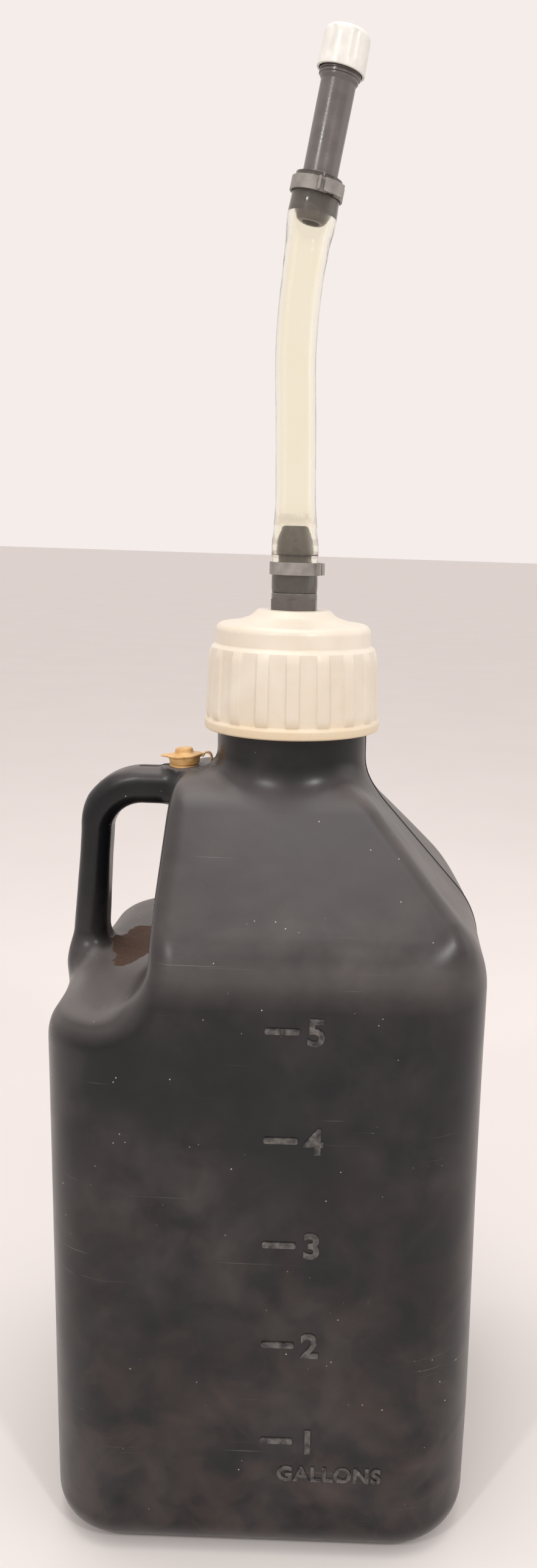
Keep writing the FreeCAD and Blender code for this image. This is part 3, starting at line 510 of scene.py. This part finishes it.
def turned(outline, angles, place=Matrix.Identity(4), swell=None):
    """Points and faces of an outline turned about Z; an outline that starts and ends on the
    axis is closed there, and any other is a ring. swell adds to the radius by angle and height."""
    solid = abs(outline[0].x) < 1e-6 and abs(outline[-1].x) < 1e-6
    rows = outline[1:-1] if solid else outline
    points = []
    for radius, height in rows:
        for angle in angles:
            reach = radius + (swell(angle, radius, height) if swell else 0)
            spot = Vector((reach * math.cos(angle), reach * math.sin(angle), height))
            points.append(place @ spot)
    around, count = len(angles), len(rows)
    faces = []
    for row in range(count - 1 if solid else count):
        faces += band_faces(row * around, (row + 1) % count * around, around)
    if solid:
        for end, row in ((outline[0], 0), (outline[-1], count - 1)):
            points.append(place @ Vector((0, 0, end.y)))
            for step in range(around):
                faces.append((row * around + step, row * around + (step + 1) % around,
                              len(points) - 1))
    return points, faces


def joined(*parts):
    """Several lists of points and faces as one."""
    points, faces = [], []
    for more_points, more_faces in parts:
        start = len(points)
        points += list(more_points)
        faces += [tuple(start + index for index in face) for face in more_faces]
    return points, faces


def ridge(root, crest, start, lead, turns, root_half, crest_half, place=Matrix.Identity(4)):
    """Thread ridge wound round Z, which fades in and out over its first and last turn parts."""
    per_turn, fade = 72, 20
    steps = round(turns * per_turn)
    rows = []
    for step in range(steps + 1):
        angle = 2 * math.pi * step / per_turn
        level = start + lead * step / per_turn
        share = min(1, step / fade, (steps - step) / fade)
        peak = root + (crest - root) * math.sin(share * math.pi / 2)
        rows.append([place @ Vector((radius * math.cos(angle), radius * math.sin(angle), height))
                     for radius, height in ((root, level - root_half), (peak, level - crest_half),
                                            (peak, level + crest_half), (root, level + root_half))])
    return rod(rows)


def extruded(outline, low, high, place=Matrix.Identity(4)):
    """Closed outline of (x, y) points given height along Z."""
    return rod([[place @ Vector((x, y, level)) for x, y in outline] for level in (low, high)])


def through(route, steps):
    """Smooth line through every point of a route (a Catmull-Rom spline)."""
    line = []
    for number in range(len(route) - 1):
        before, start = route[max(number - 1, 0)], route[number]
        stop, after = route[number + 1], route[min(number + 2, len(route) - 1)]
        for step in range(steps):
            t = step / steps
            line.append(0.5 * ((2 * start) + (stop - before) * t
                               + (2 * before - 5 * start + 4 * stop - after) * t * t
                               + (3 * start - before - 3 * stop + after) * t ** 3))
    return line + [route[-1]]


def smooth_step(value):
    """0 below 0, 1 above 1 and a smooth rise between them."""
    value = min(1.0, max(0.0, value))
    return value * value * (3 - 2 * value)


# ---------------------------------------------------------------- moulded jug, as a distance field

SHOULDER_LEVEL = 372.0
FRONT_RISE = 47.0
RIGHT_RISE = 48.5
SIDE_CORNER = 45.0
FOOT_ROUND = 22.0
RECESS_WALL = -64.5
RECESS_FLOOR = 341.0
HANDLE_X = -117.4
HANDLE_LEVEL = 447.0
HANDLE_BEND = 30.0
HANDLE_FOOT = 334.0
HANDLE_CORNER = 9.6
HANDLE_WIDE = 11.6
HANDLE_DEEP = 14.0
VENT_BOSS = 13.5
WALL = 3.8


def smooth_max(first, second, reach):
    """Larger of two distances, eased over a reach where they are nearly equal."""
    blend = np.maximum(reach - np.abs(first - second), 0) / reach
    return np.maximum(first, second) + blend * blend * reach / 4


def smooth_min(first, second, reach):
    return -smooth_max(-first, -second, reach)


def round_max(first, second, radius):
    """Intersection of two half spaces whose corner is an arc."""
    return (np.minimum(np.maximum(first, second), -radius)
            + np.hypot(np.maximum(first + radius, 0), np.maximum(second + radius, 0)))


def rounded_corner(first, second, radius):
    """Distance outside two walls that meet in an arc, right on both sides of the surface."""
    first, second = first + radius, second + radius
    return (np.hypot(np.maximum(first, 0), np.maximum(second, 0))
            + np.minimum(np.maximum(first, second), 0) - radius)


def facet(outward, z, rise):
    """Distance outside a shoulder slope that starts at the top of one side."""
    angle = math.radians(rise)
    return (outward - HALF) * math.sin(angle) + (z - SHOULDER_LEVEL) * math.cos(angle)


def handle_distance(x, y, z):
    """Distance from the handle: level from the neck, round a bend and down into the recess."""
    bend_x, bend_z = HANDLE_X + HANDLE_BEND, HANDLE_LEVEL - HANDLE_BEND
    beyond = np.maximum(x + 44, 0) - np.minimum(x - bend_x, 0)
    level = np.hypot(beyond, z - HANDLE_LEVEL)
    lean = 0.075 * np.clip(bend_z - z, 0, 72)
    past_ends = np.maximum(z - bend_z, 0) + np.maximum(HANDLE_FOOT - z, 0)
    upright = np.hypot(past_ends, x + lean - HANDLE_X)
    bend = np.abs(np.hypot(x - bend_x, z - bend_z) - HANDLE_BEND)
    line = np.where((x < bend_x) & (z > bend_z), bend, np.minimum(level, upright))
    slim = 2.2 * np.clip((440 - z) / 20, 0, 1) - 1.3 * np.clip((400 - z) / 60, 0, 1)
    return rounded_corner(line - (HANDLE_WIDE - slim), np.abs(y) - HANDLE_DEEP, HANDLE_CORNER)


def column_distance(x, y, z):
    """Distance outside the four sides: they sag a little, and the left one swells under the
    handle's foot."""
    column = rounded_corner(np.abs(x) - HALF, np.abs(y) - HALF, SIDE_CORNER)
    sag = 0.5 * np.sin(x / 31 + 0.8) * np.sin(z / 57 + 0.4) + 0.35 * np.cos((x + y) / 24 + z / 95)
    column = column + sag * np.clip((z - 20) / 60, 0, 1) * np.clip((360 - z) / 40, 0, 1)
    most = 5.0
    swell = np.where(x < -60, most, 0.0) * np.exp(-(y / 45) ** 2) * np.clip((z - 230) / 90, 0, 1)
    return column - swell * swell * (3 * most - 2 * swell) / most ** 2


def shoulder_distance(x, y, z):
    """Distance outside the shoulder: three slopes up to the crown, softer towards the back."""
    front, back = facet(-y, z, FRONT_RISE), facet(y, z, FRONT_RISE)
    right = facet(x, z, RIGHT_RISE) + y * y * np.where(y > 0, 0.0006, -0.0003)
    slopes = smooth_max(smooth_max(front, right, 9), smooth_max(back, right, 46), 4)
    return smooth_max(slopes, z - CROWN, 14)


def recess_distance(x, z):
    """Distance outside the space behind the handle."""
    floor = smooth_min(RECESS_FLOOR + 0 * x, RECESS_FLOOR + 0.12 * (x + 97), 8)
    return round_max(x - RECESS_WALL, floor - z, 30)


def body_distance(x, y, z):
    """Distance outside the jug without its neck."""
    bend_reach = 15 + 24 * np.clip(y / 90, 0, 1)
    body = smooth_max(column_distance(x, y, z), shoulder_distance(x, y, z), bend_reach)
    body = round_max(body, -z, FOOT_ROUND)
    body = smooth_max(body, -recess_distance(x, z), 13 + 7 * np.clip((400 - z) / 40, 0, 1))
    merge = 4 + 8 * np.clip((456 - z) / 12, 0, 1) + 8 * np.clip((370 - z) / 30, 0, 1)
    body = smooth_min(body, handle_distance(x, y, z), merge)
    vent = np.hypot(x - VENT_X, y)
    boss = np.maximum(np.maximum(vent - VENT_BOSS, z - CROWN + 0.3), CROWN - 20 - z)
    return smooth_min(body, boss, 4)


def jug_distance(x, y, z):
    """Distance outside the hollow jug's wall."""
    body = body_distance(x, y, z)
    axis = np.hypot(x - NECK_X, y)
    neck = np.maximum(smooth_max(axis - NECK_RADIUS, z - NECK_TOP, 1.5), CROWN - 20 - z)
    bore = np.maximum(axis - NECK_BORE, CROWN - 30 - z)
    cavity = smooth_min(body + WALL, bore, 5)
    return np.maximum(smooth_min(body, neck, 14), -cavity)


def slope_of(distance, points, step):
    """Distance at each point, and how it grows along X, Y and Z."""
    value = distance(*points.T)
    slope = np.stack([(distance(*(points + step * way).T) - value) / step
                      for way in np.eye(3)], axis=1)
    return value, slope


def field_surface(distance, low, high, pitch):
    """Closed mesh of a distance field's zero surface, each point moved onto it exactly."""
    axes = [np.arange(a, b, pitch) for a, b in zip(low, high)]
    grid = openvdb.FloatGrid()
    grid.copyFromArray(distance(*np.meshgrid(*axes, indexing="ij")))
    corners, triangles, quads = grid.convertToPolygons(0.0, 0.0)
    points = np.asarray(corners, float) * pitch + np.array(low, float)
    for _ in range(3):
        value, slope = slope_of(distance, points, 0.02)
        length = np.maximum(np.linalg.norm(slope, axis=1, keepdims=True), 0.2)
        move = np.clip(value[:, None] / length, -pitch, pitch)
        points = points - slope / length * move
    normals = slope / np.maximum(np.linalg.norm(slope, axis=1, keepdims=True), 1e-6)
    faces = [tuple(face) for face in quads.tolist() + triangles.tolist()]
    return points, faces, normals


def make_jug():
    """Hollow jug in one moulding, with the thread round its neck."""
    pitch = 2.5
    spare = 7
    reach = HALF + spare
    points, faces, normals = field_surface(jug_distance, (-reach, -reach, -spare),
                                           (reach, reach, NECK_TOP + spare), pitch)
    shell = new_piece("jug_shell", "black_polyethylene", "jug", points, faces, normals=normals)
    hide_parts("jug_body")
    neck_thread = ridge(NECK_RADIUS - 0.4, 48.3, NECK_TOP - 34, 8, 2.75, 2.2, 1.1,
                        Matrix.Translation((NECK_X, 0, 0)))
    new_piece("neck_thread", "black_polyethylene", "jug", *neck_thread)


MARK_PROUD = 0.9
MARK_FIRST = 81.0
MARK_PITCH = 64.6


def text_mesh(name, text, x, z, tall, thick):
    """Raised characters on the front face, lying in the wall and standing a little proud of it."""
    capital_share = 0.7
    data = bpy.data.curves.new(name, "FONT")
    data.body = text
    data.size = tall / capital_share * MM
    data.offset = thick * MM
    data.extrude = 1.2 * MM
    data.bevel_depth = 0.3 * MM
    data.bevel_resolution = 2
    data.space_character = 1.12
    holder = bpy.data.objects.new(name, data)
    bpy.context.collection.objects.link(holder)
    bpy.context.view_layer.update()
    mesh = bpy.data.meshes.new_from_object(holder)
    bpy.data.objects.remove(holder)
    face = Matrix.Translation((x * MM, (-HALF - MARK_PROUD + 1.5) * MM, z * MM))
    mesh.transform(face @ Matrix.Rotation(math.radians(90), 4, "X"))
    return mesh


def onto_front(points):
    """Points drawn against a flat front face, carried onto the moulded one."""
    spots = np.array([tuple(point) for point in points])
    wall = np.full(len(spots), -HALF)
    for _ in range(4):
        wall = wall + body_distance(spots[:, 0], wall, spots[:, 2])
    spots[:, 1] += wall + HALF
    return spots.tolist()


def make_marks():
    """Graduation bars, their numbers and the unit's name on the front face."""
    parts = []
    for number in range(5):
        level = MARK_FIRST + MARK_PITCH * number
        outline = rounded([(3.3, level - 1.75, 1.2), (22.3, level - 1.75, 1.2),
                           (22.3, level + 1.75, 1.2), (3.3, level + 1.75, 1.2)])
        turn = Matrix.Rotation(math.radians(90), 4, "X")
        parts.append(extruded(outline, HALF - 2, HALF + MARK_PROUD, turn))
        parts.append(mesh_parts(text_mesh("number", str(number + 1), 26.0, level - 7.5, 15, 0.35)))
    parts.append(mesh_parts(text_mesh("unit", "GALLONS", 13.5, 54.5, 9, 0.25)))
    points, faces = joined(*parts)
    marks = new_piece("gallon_marks", "black_polyethylene", "jug", onto_front(points), faces,
                      bevel=0.25)
    marks.data.materials[0] = worn_polyethylene()


def mesh_parts(mesh):
    points = [vertex.co / MM for vertex in mesh.vertices]
    return points, [tuple(face.vertices) for face in mesh.polygons]


def seam_spots():
    """Points near the jug's outline in the handle's plane, 3 mm apart."""
    corners = [(51, 500), (51, 468), (60, 449), (127, 372), (127, 22), (105, 0), (-105, 0),
               (-127, 22), (-127, 320), (-126.7, 345), (-126.7, 418), (-114.5, 447),
               (-85, 459.4), (-72, 459.4)]
    line = []
    for (x0, z0), (x1, z1) in zip(corners, corners[1:]):
        steps = max(1, round(math.hypot(x1 - x0, z1 - z0) / 3))
        line += [(x0 + (x1 - x0) * step / steps, z0 + (z1 - z0) * step / steps)
                 for step in range(steps)]
    return np.array([(x, 0.0, z) for x, z in line + [corners[-1]]])


def make_seam():
    """Fine ridge where the two halves of the mould met, round the jug in the handle's plane."""
    spots = seam_spots()
    for _ in range(8):
        value, slope = slope_of(jug_distance, spots, 0.05)
        slope[:, 1] = 0
        slope /= np.maximum(np.linalg.norm(slope, axis=1, keepdims=True), 1e-6)
        spots = spots - slope * value[:, None]
    half_wide, half_crest, proud, sunk = 0.55, 0.22, 0.45, 0.6
    section = ((-half_wide, -sunk), (-half_crest, proud), (half_crest, proud), (half_wide, -sunk))
    rows = [[Vector(spot) + Vector((0, across, 0)) + Vector(out) * away
             for across, away in section] for spot, out in zip(spots, slope)]
    new_piece("parting_seam", "black_polyethylene", "jug", *rod(rows), sharp=60)


# ---------------------------------------------------------------- screw cap

CAP_LOW = low_of("main_cap").z
CAP_TOP = high_of("main_cap").z
GRIP_RADIUS = 51.0
RIBS = 18
RIB_PITCH = 2 * math.pi / RIBS
RIB_TURN = math.radians(-5.4)


def rib_angles():
    """Angles round the cap, closer together where a rib's sides rise."""
    offsets = (-8, -5.6, -4.6, -4.2, -3.8, -3.4, -3.0, -1.5, 0, 1.5, 3.0, 3.4, 3.8, 4.2, 4.6, 5.6)
    return [RIB_TURN + RIB_PITCH * rib + offset / GRIP_RADIUS
            for rib in range(RIBS) for offset in offsets]


def rib_swell(angle, radius, height):
    """Ribs stand out of the cap's grip and run out at its rim and shoulder."""
    if radius < 49.4:
        return 0
    offset = (angle - RIB_TURN + RIB_PITCH / 2) % RIB_PITCH - RIB_PITCH / 2
    across = smooth_step((4.4 - abs(offset) * GRIP_RADIUS) / 1.2)
    along = smooth_step((height - CAP_LOW - 6.5) / 2.0) * smooth_step((537 - height) / 5.5)
    return 1.35 * across * along


def make_cap():
    """Ribbed cap with its skirt, band and dome, and the thread inside it."""
    base, top = CAP_LOW, CAP_TOP
    corners = [(49.2, base, 0.6), (54, base, 1.4), (54, base + 5.4, 1.6), (52.1, base + 7.0, 1.0),
               (50.2, top - 22.6, 1.4), (47.9, top - 20.8, 0.3), (47.6, top - 20.2, 0.3),
               (47.4, top - 8.6, 5.0), (35, top - 7.0, 10), (26.5, top - 4.2, 8),
               (22.0, top, 1.4), (9.6, top, 0.3), (9.6, top - 4, 0), (18, top - 4, 1),
               (18, top - 7, 2), (34, top - 13, 4), (42, top - 17, 2), (42, top - 26.5, 1),
               (49.2, top - 26.5, 1)]
    outline = divided(rounded(corners), 3)
    place = Matrix.Translation((NECK_X, 0, 0))
    cap = new_piece("ribbed_cap", "ivory_polyethylene", "cap",
                    *turned(outline, rib_angles(), place, rib_swell), sharp=40)
    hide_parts("main_cap")
    new_piece("cap_inner_thread", "ivory_polyethylene", "cap",
              *ridge(49.6, 46.7, base + 10, 8, 2.75, 2.0, 1.0, place))


# ---------------------------------------------------------------- fitting, hose, nozzle, clamps

def make_fitting():
    """Hose fitting: threaded shank, hexagon, shoulder, stem and a rounded barb."""
    top, base, tip = CAP_TOP, low_of("hose_fitting").z, high_of("hose_fitting").z
    place = Matrix.Translation((NECK_X, 0, 0))
    corners = [(6, base, 0.5), (9.3, base, 0.6), (9.3, top, 0), (13.2, top, 0.2),
               (13.9, top + 6.6, 0.3), (13.9, HOSE_LOW, 1.0), (11.1, HOSE_LOW, 0.3),
               (11.1, HOSE_LOW + 17, 1.0), (10.0, HOSE_LOW + 19, 1.0), (10.0, HOSE_LOW + 21.4, 0.4),
               (11.4, HOSE_LOW + 22.4, 0.9), (10.7, HOSE_LOW + 31, 12), (7.6, tip, 2.0),
               (6, tip, 0.5)]
    across_flats = 27
    hexagon = rounded([(*polar(across_flats / math.sqrt(3), 60 * side + 30), 1.0)
                       for side in range(6)])
    parts = joined(turned(rounded(corners), even_turn(64), place),
                   extruded(hexagon, top + 0.05, top + 6.5, place))
    fitting = new_piece("barbed_fitting", "grey_nylon", "cap", *parts, bevel=0.3)
    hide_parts("hose_fitting")


def hose_line():
    """Points of the hose's middle line, read from its spline, in millimetres."""
    route = [Vector((NECK_X, 0, HOSE_LOW)), Vector((NECK_X, 0, 650)), NOZZLE_PIVOT,
             NOZZLE_PIVOT + NOZZLE_AXIS * HOSE_TOP]
    data = bpy.data.curves.new("hose_route", "CURVE")
    data.dimensions = "3D"
    data.resolution_u = 40
    spline = data.splines.new("NURBS")
    spline.points.add(len(route) - 1)
    for point, corner in zip(spline.points, route):
        point.co = (*(corner * MM), 1)
    spline.order_u = 3
    spline.use_endpoint_u = True
    holder = bpy.data.objects.new("hose_route", data)
    bpy.context.collection.objects.link(holder)
    bpy.context.view_layer.update()
    mesh = bpy.data.meshes.new_from_object(holder)
    line = [vertex.co / MM for vertex in mesh.vertices]
    bpy.data.objects.remove(holder)
    bpy.data.meshes.remove(mesh)
    return line


def eased(knots, along):
    """Value between (distance, value) knots, level at each knot."""
    for (start, low), (stop, high) in zip(knots, knots[1:]):
        if along <= stop:
            return low + (high - low) * smooth_step((along - start) / (stop - start))
    return knots[-1][1]


def hose_ring(line, travel, along, radius, around):
    """Ring of points round the middle line at a distance along it."""
    side = Vector((0, 1, 0))
    index = max(1, next((n for n, t in enumerate(travel) if t >= along), len(line) - 1))
    share = (along - travel[index - 1]) / (travel[index] - travel[index - 1])
    centre = line[index - 1].lerp(line[index], share)
    ahead = line[min(index + 1, len(line) - 1)] - line[max(index - 2, 0)]
    across = ahead.normalized().cross(side).normalized()
    return [centre + (across * math.cos(a) + side * math.sin(a)) * radius
            for a in even_turn(around)]


def make_hose():
    """Clear tube, stretched over the barb at its foot and over the nozzle's nose at its top."""
    line = hose_line()
    travel = [0.0]
    for before, after in zip(line, line[1:]):
        travel.append(travel[-1] + (after - before).length)
    length = travel[-1]
    outer = [(0, 13.7), (3, 14.0), (9, 14.0), (12, 13.75), (18, 13.75), (22, 14.15), (27, 14.2),
             (38, 13.1), (54, 12.05), (length - 56, 12.0), (length - 38, 12.7), (length - 22, 14.2),
             (length - 17, 14.0), (length - 13, 13.8), (length - 3, 13.9), (length, 13.5)]
    inner = [(0, 10.9), (21, 10.9), (24, 11.6), (30, 11.4), (38, 10.5), (64, 9.25),
             (length - 60, 9.25), (length - 36, 9.6), (length - 23, 10.3), (length - 12, 10.5),
             (length, 10.5)]
    around, stretches = 56, 150
    stations = [length * step / stretches for step in range(stretches + 1)]
    rings = [hose_ring(line, travel, along, eased(knots, along), around)
             for knots, order in ((outer, stations), (inner, stations[::-1])) for along in order]
    points = [point for ring in rings for point in ring]
    faces = []
    for row in range(len(rings)):
        faces += band_faces(row * around, (row + 1) % len(rings) * around, around)
    hose = new_piece("clear_hose", "clear_vinyl", None, points, faces, sharp=50)
    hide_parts("filler_hose")
    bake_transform(hose)


def nozzle_place(spin=0.0):
    """The nozzle's own frame: its axis leans toward +X from the hose's last turn."""
    return (Matrix.Translation(NOZZLE_PIVOT) @ Matrix.Rotation(TILT, 4, "Y")
            @ Matrix.Rotation(spin, 4, "Z"))


def make_nozzle():
    """Bullet nose inside the hose, a tube, a collar with a fine thread and the capped thread."""
    place = nozzle_place()
    nose, seat, collar, tip = NOZZLE_NOSE, HOSE_TOP, NOZZLE_COLLAR, NOZZLE_TIP
    corners = [(5.0, nose, 0.6), (8.0, nose, 3.2), (10.8, nose + 5, 5), (10.75, nose + 13, 1),
               (10.75, seat, 0.4), (10.0, seat + 1.2, 0.6), (10.0, collar - 7.7, 1.0),
               (11.0, collar - 6.1, 0.6), (11.0, collar, 0.5), (10.9, collar, 0), (10.9, tip, 0.8),
               (7.1, tip, 0.5), (7.1, collar, 1), (5.0, collar - 4.3, 1)]
    parts = joined(turned(rounded(corners), even_turn(64), place),
                   ridge(10.6, 11.85, collar + 3, 3, 3.6, 0.9, 0.35, place),
                   ridge(10.8, 11.8, collar - 5.7, 1.9, 2.6, 0.7, 0.3, place))
    nozzle = new_piece("nozzle_body", "grey_nylon", "nozzle", *parts, sharp=38)
    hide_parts("pour_nozzle")


def flute_swell(angle, radius, height):
    """Shallow grip flutes down the nozzle cap, open at its top edge."""
    flutes_low = NOZZLE_COLLAR + 0.7
    if radius < 12.9 or height < flutes_low:
        return 0
    pitch = math.pi / 3
    offset = (angle + pitch / 2) % pitch - pitch / 2
    depth = 0.55 * smooth_step((2.4 - abs(offset) * 13.4) / 2.0)
    return -depth * smooth_step((height - flutes_low) / 3)


def make_nozzle_cap():
    """White screw cap with six shallow flutes and its inner thread."""
    place = nozzle_place(math.radians(-62))
    top, under, mouth = NOZZLE_TIP + 4.8, NOZZLE_TIP + 1.4, NOZZLE_COLLAR - 2
    corners = [(0, top, 0), (13.0, top, 4.6), (13.8, mouth, 0.5), (12.3, mouth, 0.4),
               (12.3, under, 2.2), (0, under, 0)]
    outline = divided(rounded(corners, closed=False), 1.7)
    parts = joined(turned(outline, even_turn(120), place, flute_swell),
                   ridge(12.5, 11.4, NOZZLE_COLLAR + 1.5, 3, 3.6, 0.9, 0.35, place))
    cap = new_piece("nozzle_end_cap", "white_plastic", "tip_cap", *parts, sharp=38)
    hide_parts("nozzle_cap")


def clamp_parts(low, place):
    """Snap band with two toothed jaws that lock over each other beside its gap."""
    tall = 7.5
    band = [polar(15.3, angle) for angle in range(8, 353, 5)]
    band += [polar(14.05, angle) for angle in range(352, 7, -5)]
    outer_jaw = [polar(16.4, 24), polar(18.3, 25), polar(18.2, 4), polar(18.0, -18),
                 polar(17.0, -18), polar(17.2, -12), polar(16.5, -8), polar(17.2, -4),
                 polar(16.5, 0), polar(17.2, 4), polar(16.5, 8), polar(15.2, 20)]
    inner_jaw = [polar(14.1, -24), polar(15.2, -24), polar(15.9, -14), polar(16.6, -10),
                 polar(15.9, -6), polar(16.6, -2), polar(15.9, 2), polar(16.4, 6),
                 polar(15.2, 8), polar(14.1, 6)]
    tab = [polar(15.1, -22), polar(18.4, -26), polar(18.2, -30), polar(15.1, -30)]
    return joined(extruded(band, low, low + tall, place),
                  extruded(outer_jaw, low + 0.2, low + tall - 0.2, place),
                  extruded(inner_jaw, low + 0.6, low + tall - 0.6, place),
                  extruded(tab, low + 0.2, low + tall - 0.2, place))


def make_clamps():
    """One clamp on each end of the hose."""
    low = new_piece("lower_snap_clamp", "clamp_nylon", "cap",
                    *clamp_parts(low_of("lower_hose_clamp").z, Matrix.Translation((NECK_X, 0, 0))),
                    sharp=35, bevel=0.2)
    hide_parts("lower_hose_clamp")
    high = new_piece("upper_snap_clamp", "clamp_nylon", "nozzle",
                     *clamp_parts(UPPER_CLAMP, nozzle_place(math.radians(-54))),
                     sharp=35, bevel=0.2)
    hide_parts("upper_hose_clamp")


# ---------------------------------------------------------------- vent

def beak_swell(angle, radius, height):
    """The lid's brim runs out into a pointed pull tab on the handle's side."""
    brim = smooth_step((height - 4.4) / 1.2) if radius > 7 else 0
    offset = abs((angle + 2 * math.pi) % (2 * math.pi) - math.pi)
    return 4.0 * brim * smooth_step(1 - offset / 0.42)


def make_vent():
    """Socket in the crown, and the lid that snaps into it, a little askew."""
    place = Matrix.Translation((VENT_X, 0, CROWN))
    ring = rounded([(4.7, -11.5, 0.4), (6.7, -11.5, 0.4), (6.7, -0.2, 0), (9.6, -0.2, 0.3),
                    (9.4, 1.25, 0.5), (4.7, 1.25, 0.3)])
    tab = rounded([(4, -2.1, 0.5), (17.2, -2.1, 1.8), (17.2, 2.1, 1.8), (4, 2.1, 0.5)])
    bushing = new_piece("vent_socket", "amber_plastic", "jug",
                        *joined(turned(ring, even_turn(48), place),
                                extruded(tab, 0.1, 1.1, place)),
                        bevel=0.15)
    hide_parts("vent_bushing")
    lean = Matrix.Translation((0, 0, 1.35)) @ Matrix.Rotation(math.radians(-4), 4, "Y")
    corners = [(0, -5, 0), (3.3, -5, 0.6), (4.0, 0, 0.2), (9.0, 0, 1.0), (9.9, 4.4, 0.8),
               (11.0, 5.4, 0.4), (11.0, 6.3, 0.5), (7.6, 6.7, 1.2), (5.9, 7.2, 1.4),
               (5.3, 10.2, 1.5), (0, 10.7, 0)]
    lug = rounded([(9, -1.7, 0.4), (11.7, -1.7, 0.6), (11.7, 1.7, 0.6), (9, 1.7, 0.4)])
    lid = new_piece("vent_lid_plug", "amber_plastic", "vent_plug",
                    *joined(turned(rounded(corners, closed=False), even_turn(64), place @ lean,
                                   beak_swell),
                            extruded(lug, 4.4, 6.4, place @ lean)),
                    sharp=42)
    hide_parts("vent_lid")
    make_strap(place)


def make_strap(place):
    """Moulded loop that ties the lid to its socket."""
    route = [Vector((11.2, 6.6)), Vector((12.8, 8.9)), Vector((15.4, 8.9)), Vector((16.7, 6.4)),
             Vector((16.2, 3.4)), Vector((15.6, 0.7))]
    line = through(route, 6)
    section = ((0.6, 1.2), (0.3, 1.6), (-0.3, 1.6), (-0.6, 1.2),
               (-0.6, -1.2), (-0.3, -1.6), (0.3, -1.6), (0.6, -1.2))
    rows = []
    for number, spot in enumerate(line):
        ahead = (line[min(number + 1, len(line) - 1)] - line[max(number - 1, 0)]).normalized()
        out = Vector((-ahead.y, ahead.x))
        rows.append([place @ Vector((spot.x + out.x * away, across, spot.y + out.y * away))
                     for away, across in section])
    strap = new_piece("vent_tether", "amber_plastic", None, *rod(rows), sharp=50)
    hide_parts("vent_strap")
    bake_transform(strap)


# ---------------------------------------------------------------- hidden pieces and the floor

def finish_seals():
    """The hidden seals and the lock nut stay as the CAD drew them, and get their materials."""
    for node, slot in (("cap_gasket", "seal_foam"), ("fitting_seal_washer", "seal_rubber"),
                       ("fitting_lock_nut", "grey_nylon"), ("nozzle_cap_liner", "seal_foam")):
        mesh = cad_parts[node].data
        mesh.materials.clear()
        mesh.materials.append(MATERIALS[slot])


def make_floor():
    """Wide pale floor under the jug, which isn't part of it."""
    reach = 30
    mesh = bpy.data.meshes.new("floor")
    mesh.from_pydata([(-reach, -reach, 0), (reach, -reach, 0), (reach, reach, 0),
                      (-reach, reach, 0)], [], [(0, 1, 2, 3)])
    mesh.materials.append(floor_paint())
    floor = bpy.data.objects.new("floor", mesh)
    bpy.context.collection.objects.link(floor)


make_camera()
make_nozzle()
make_nozzle_cap()
make_hose()
make_jug()
make_marks()
make_seam()
make_cap()
make_fitting()
make_clamps()
make_vent()
finish_seals()
make_floor()
make_light()
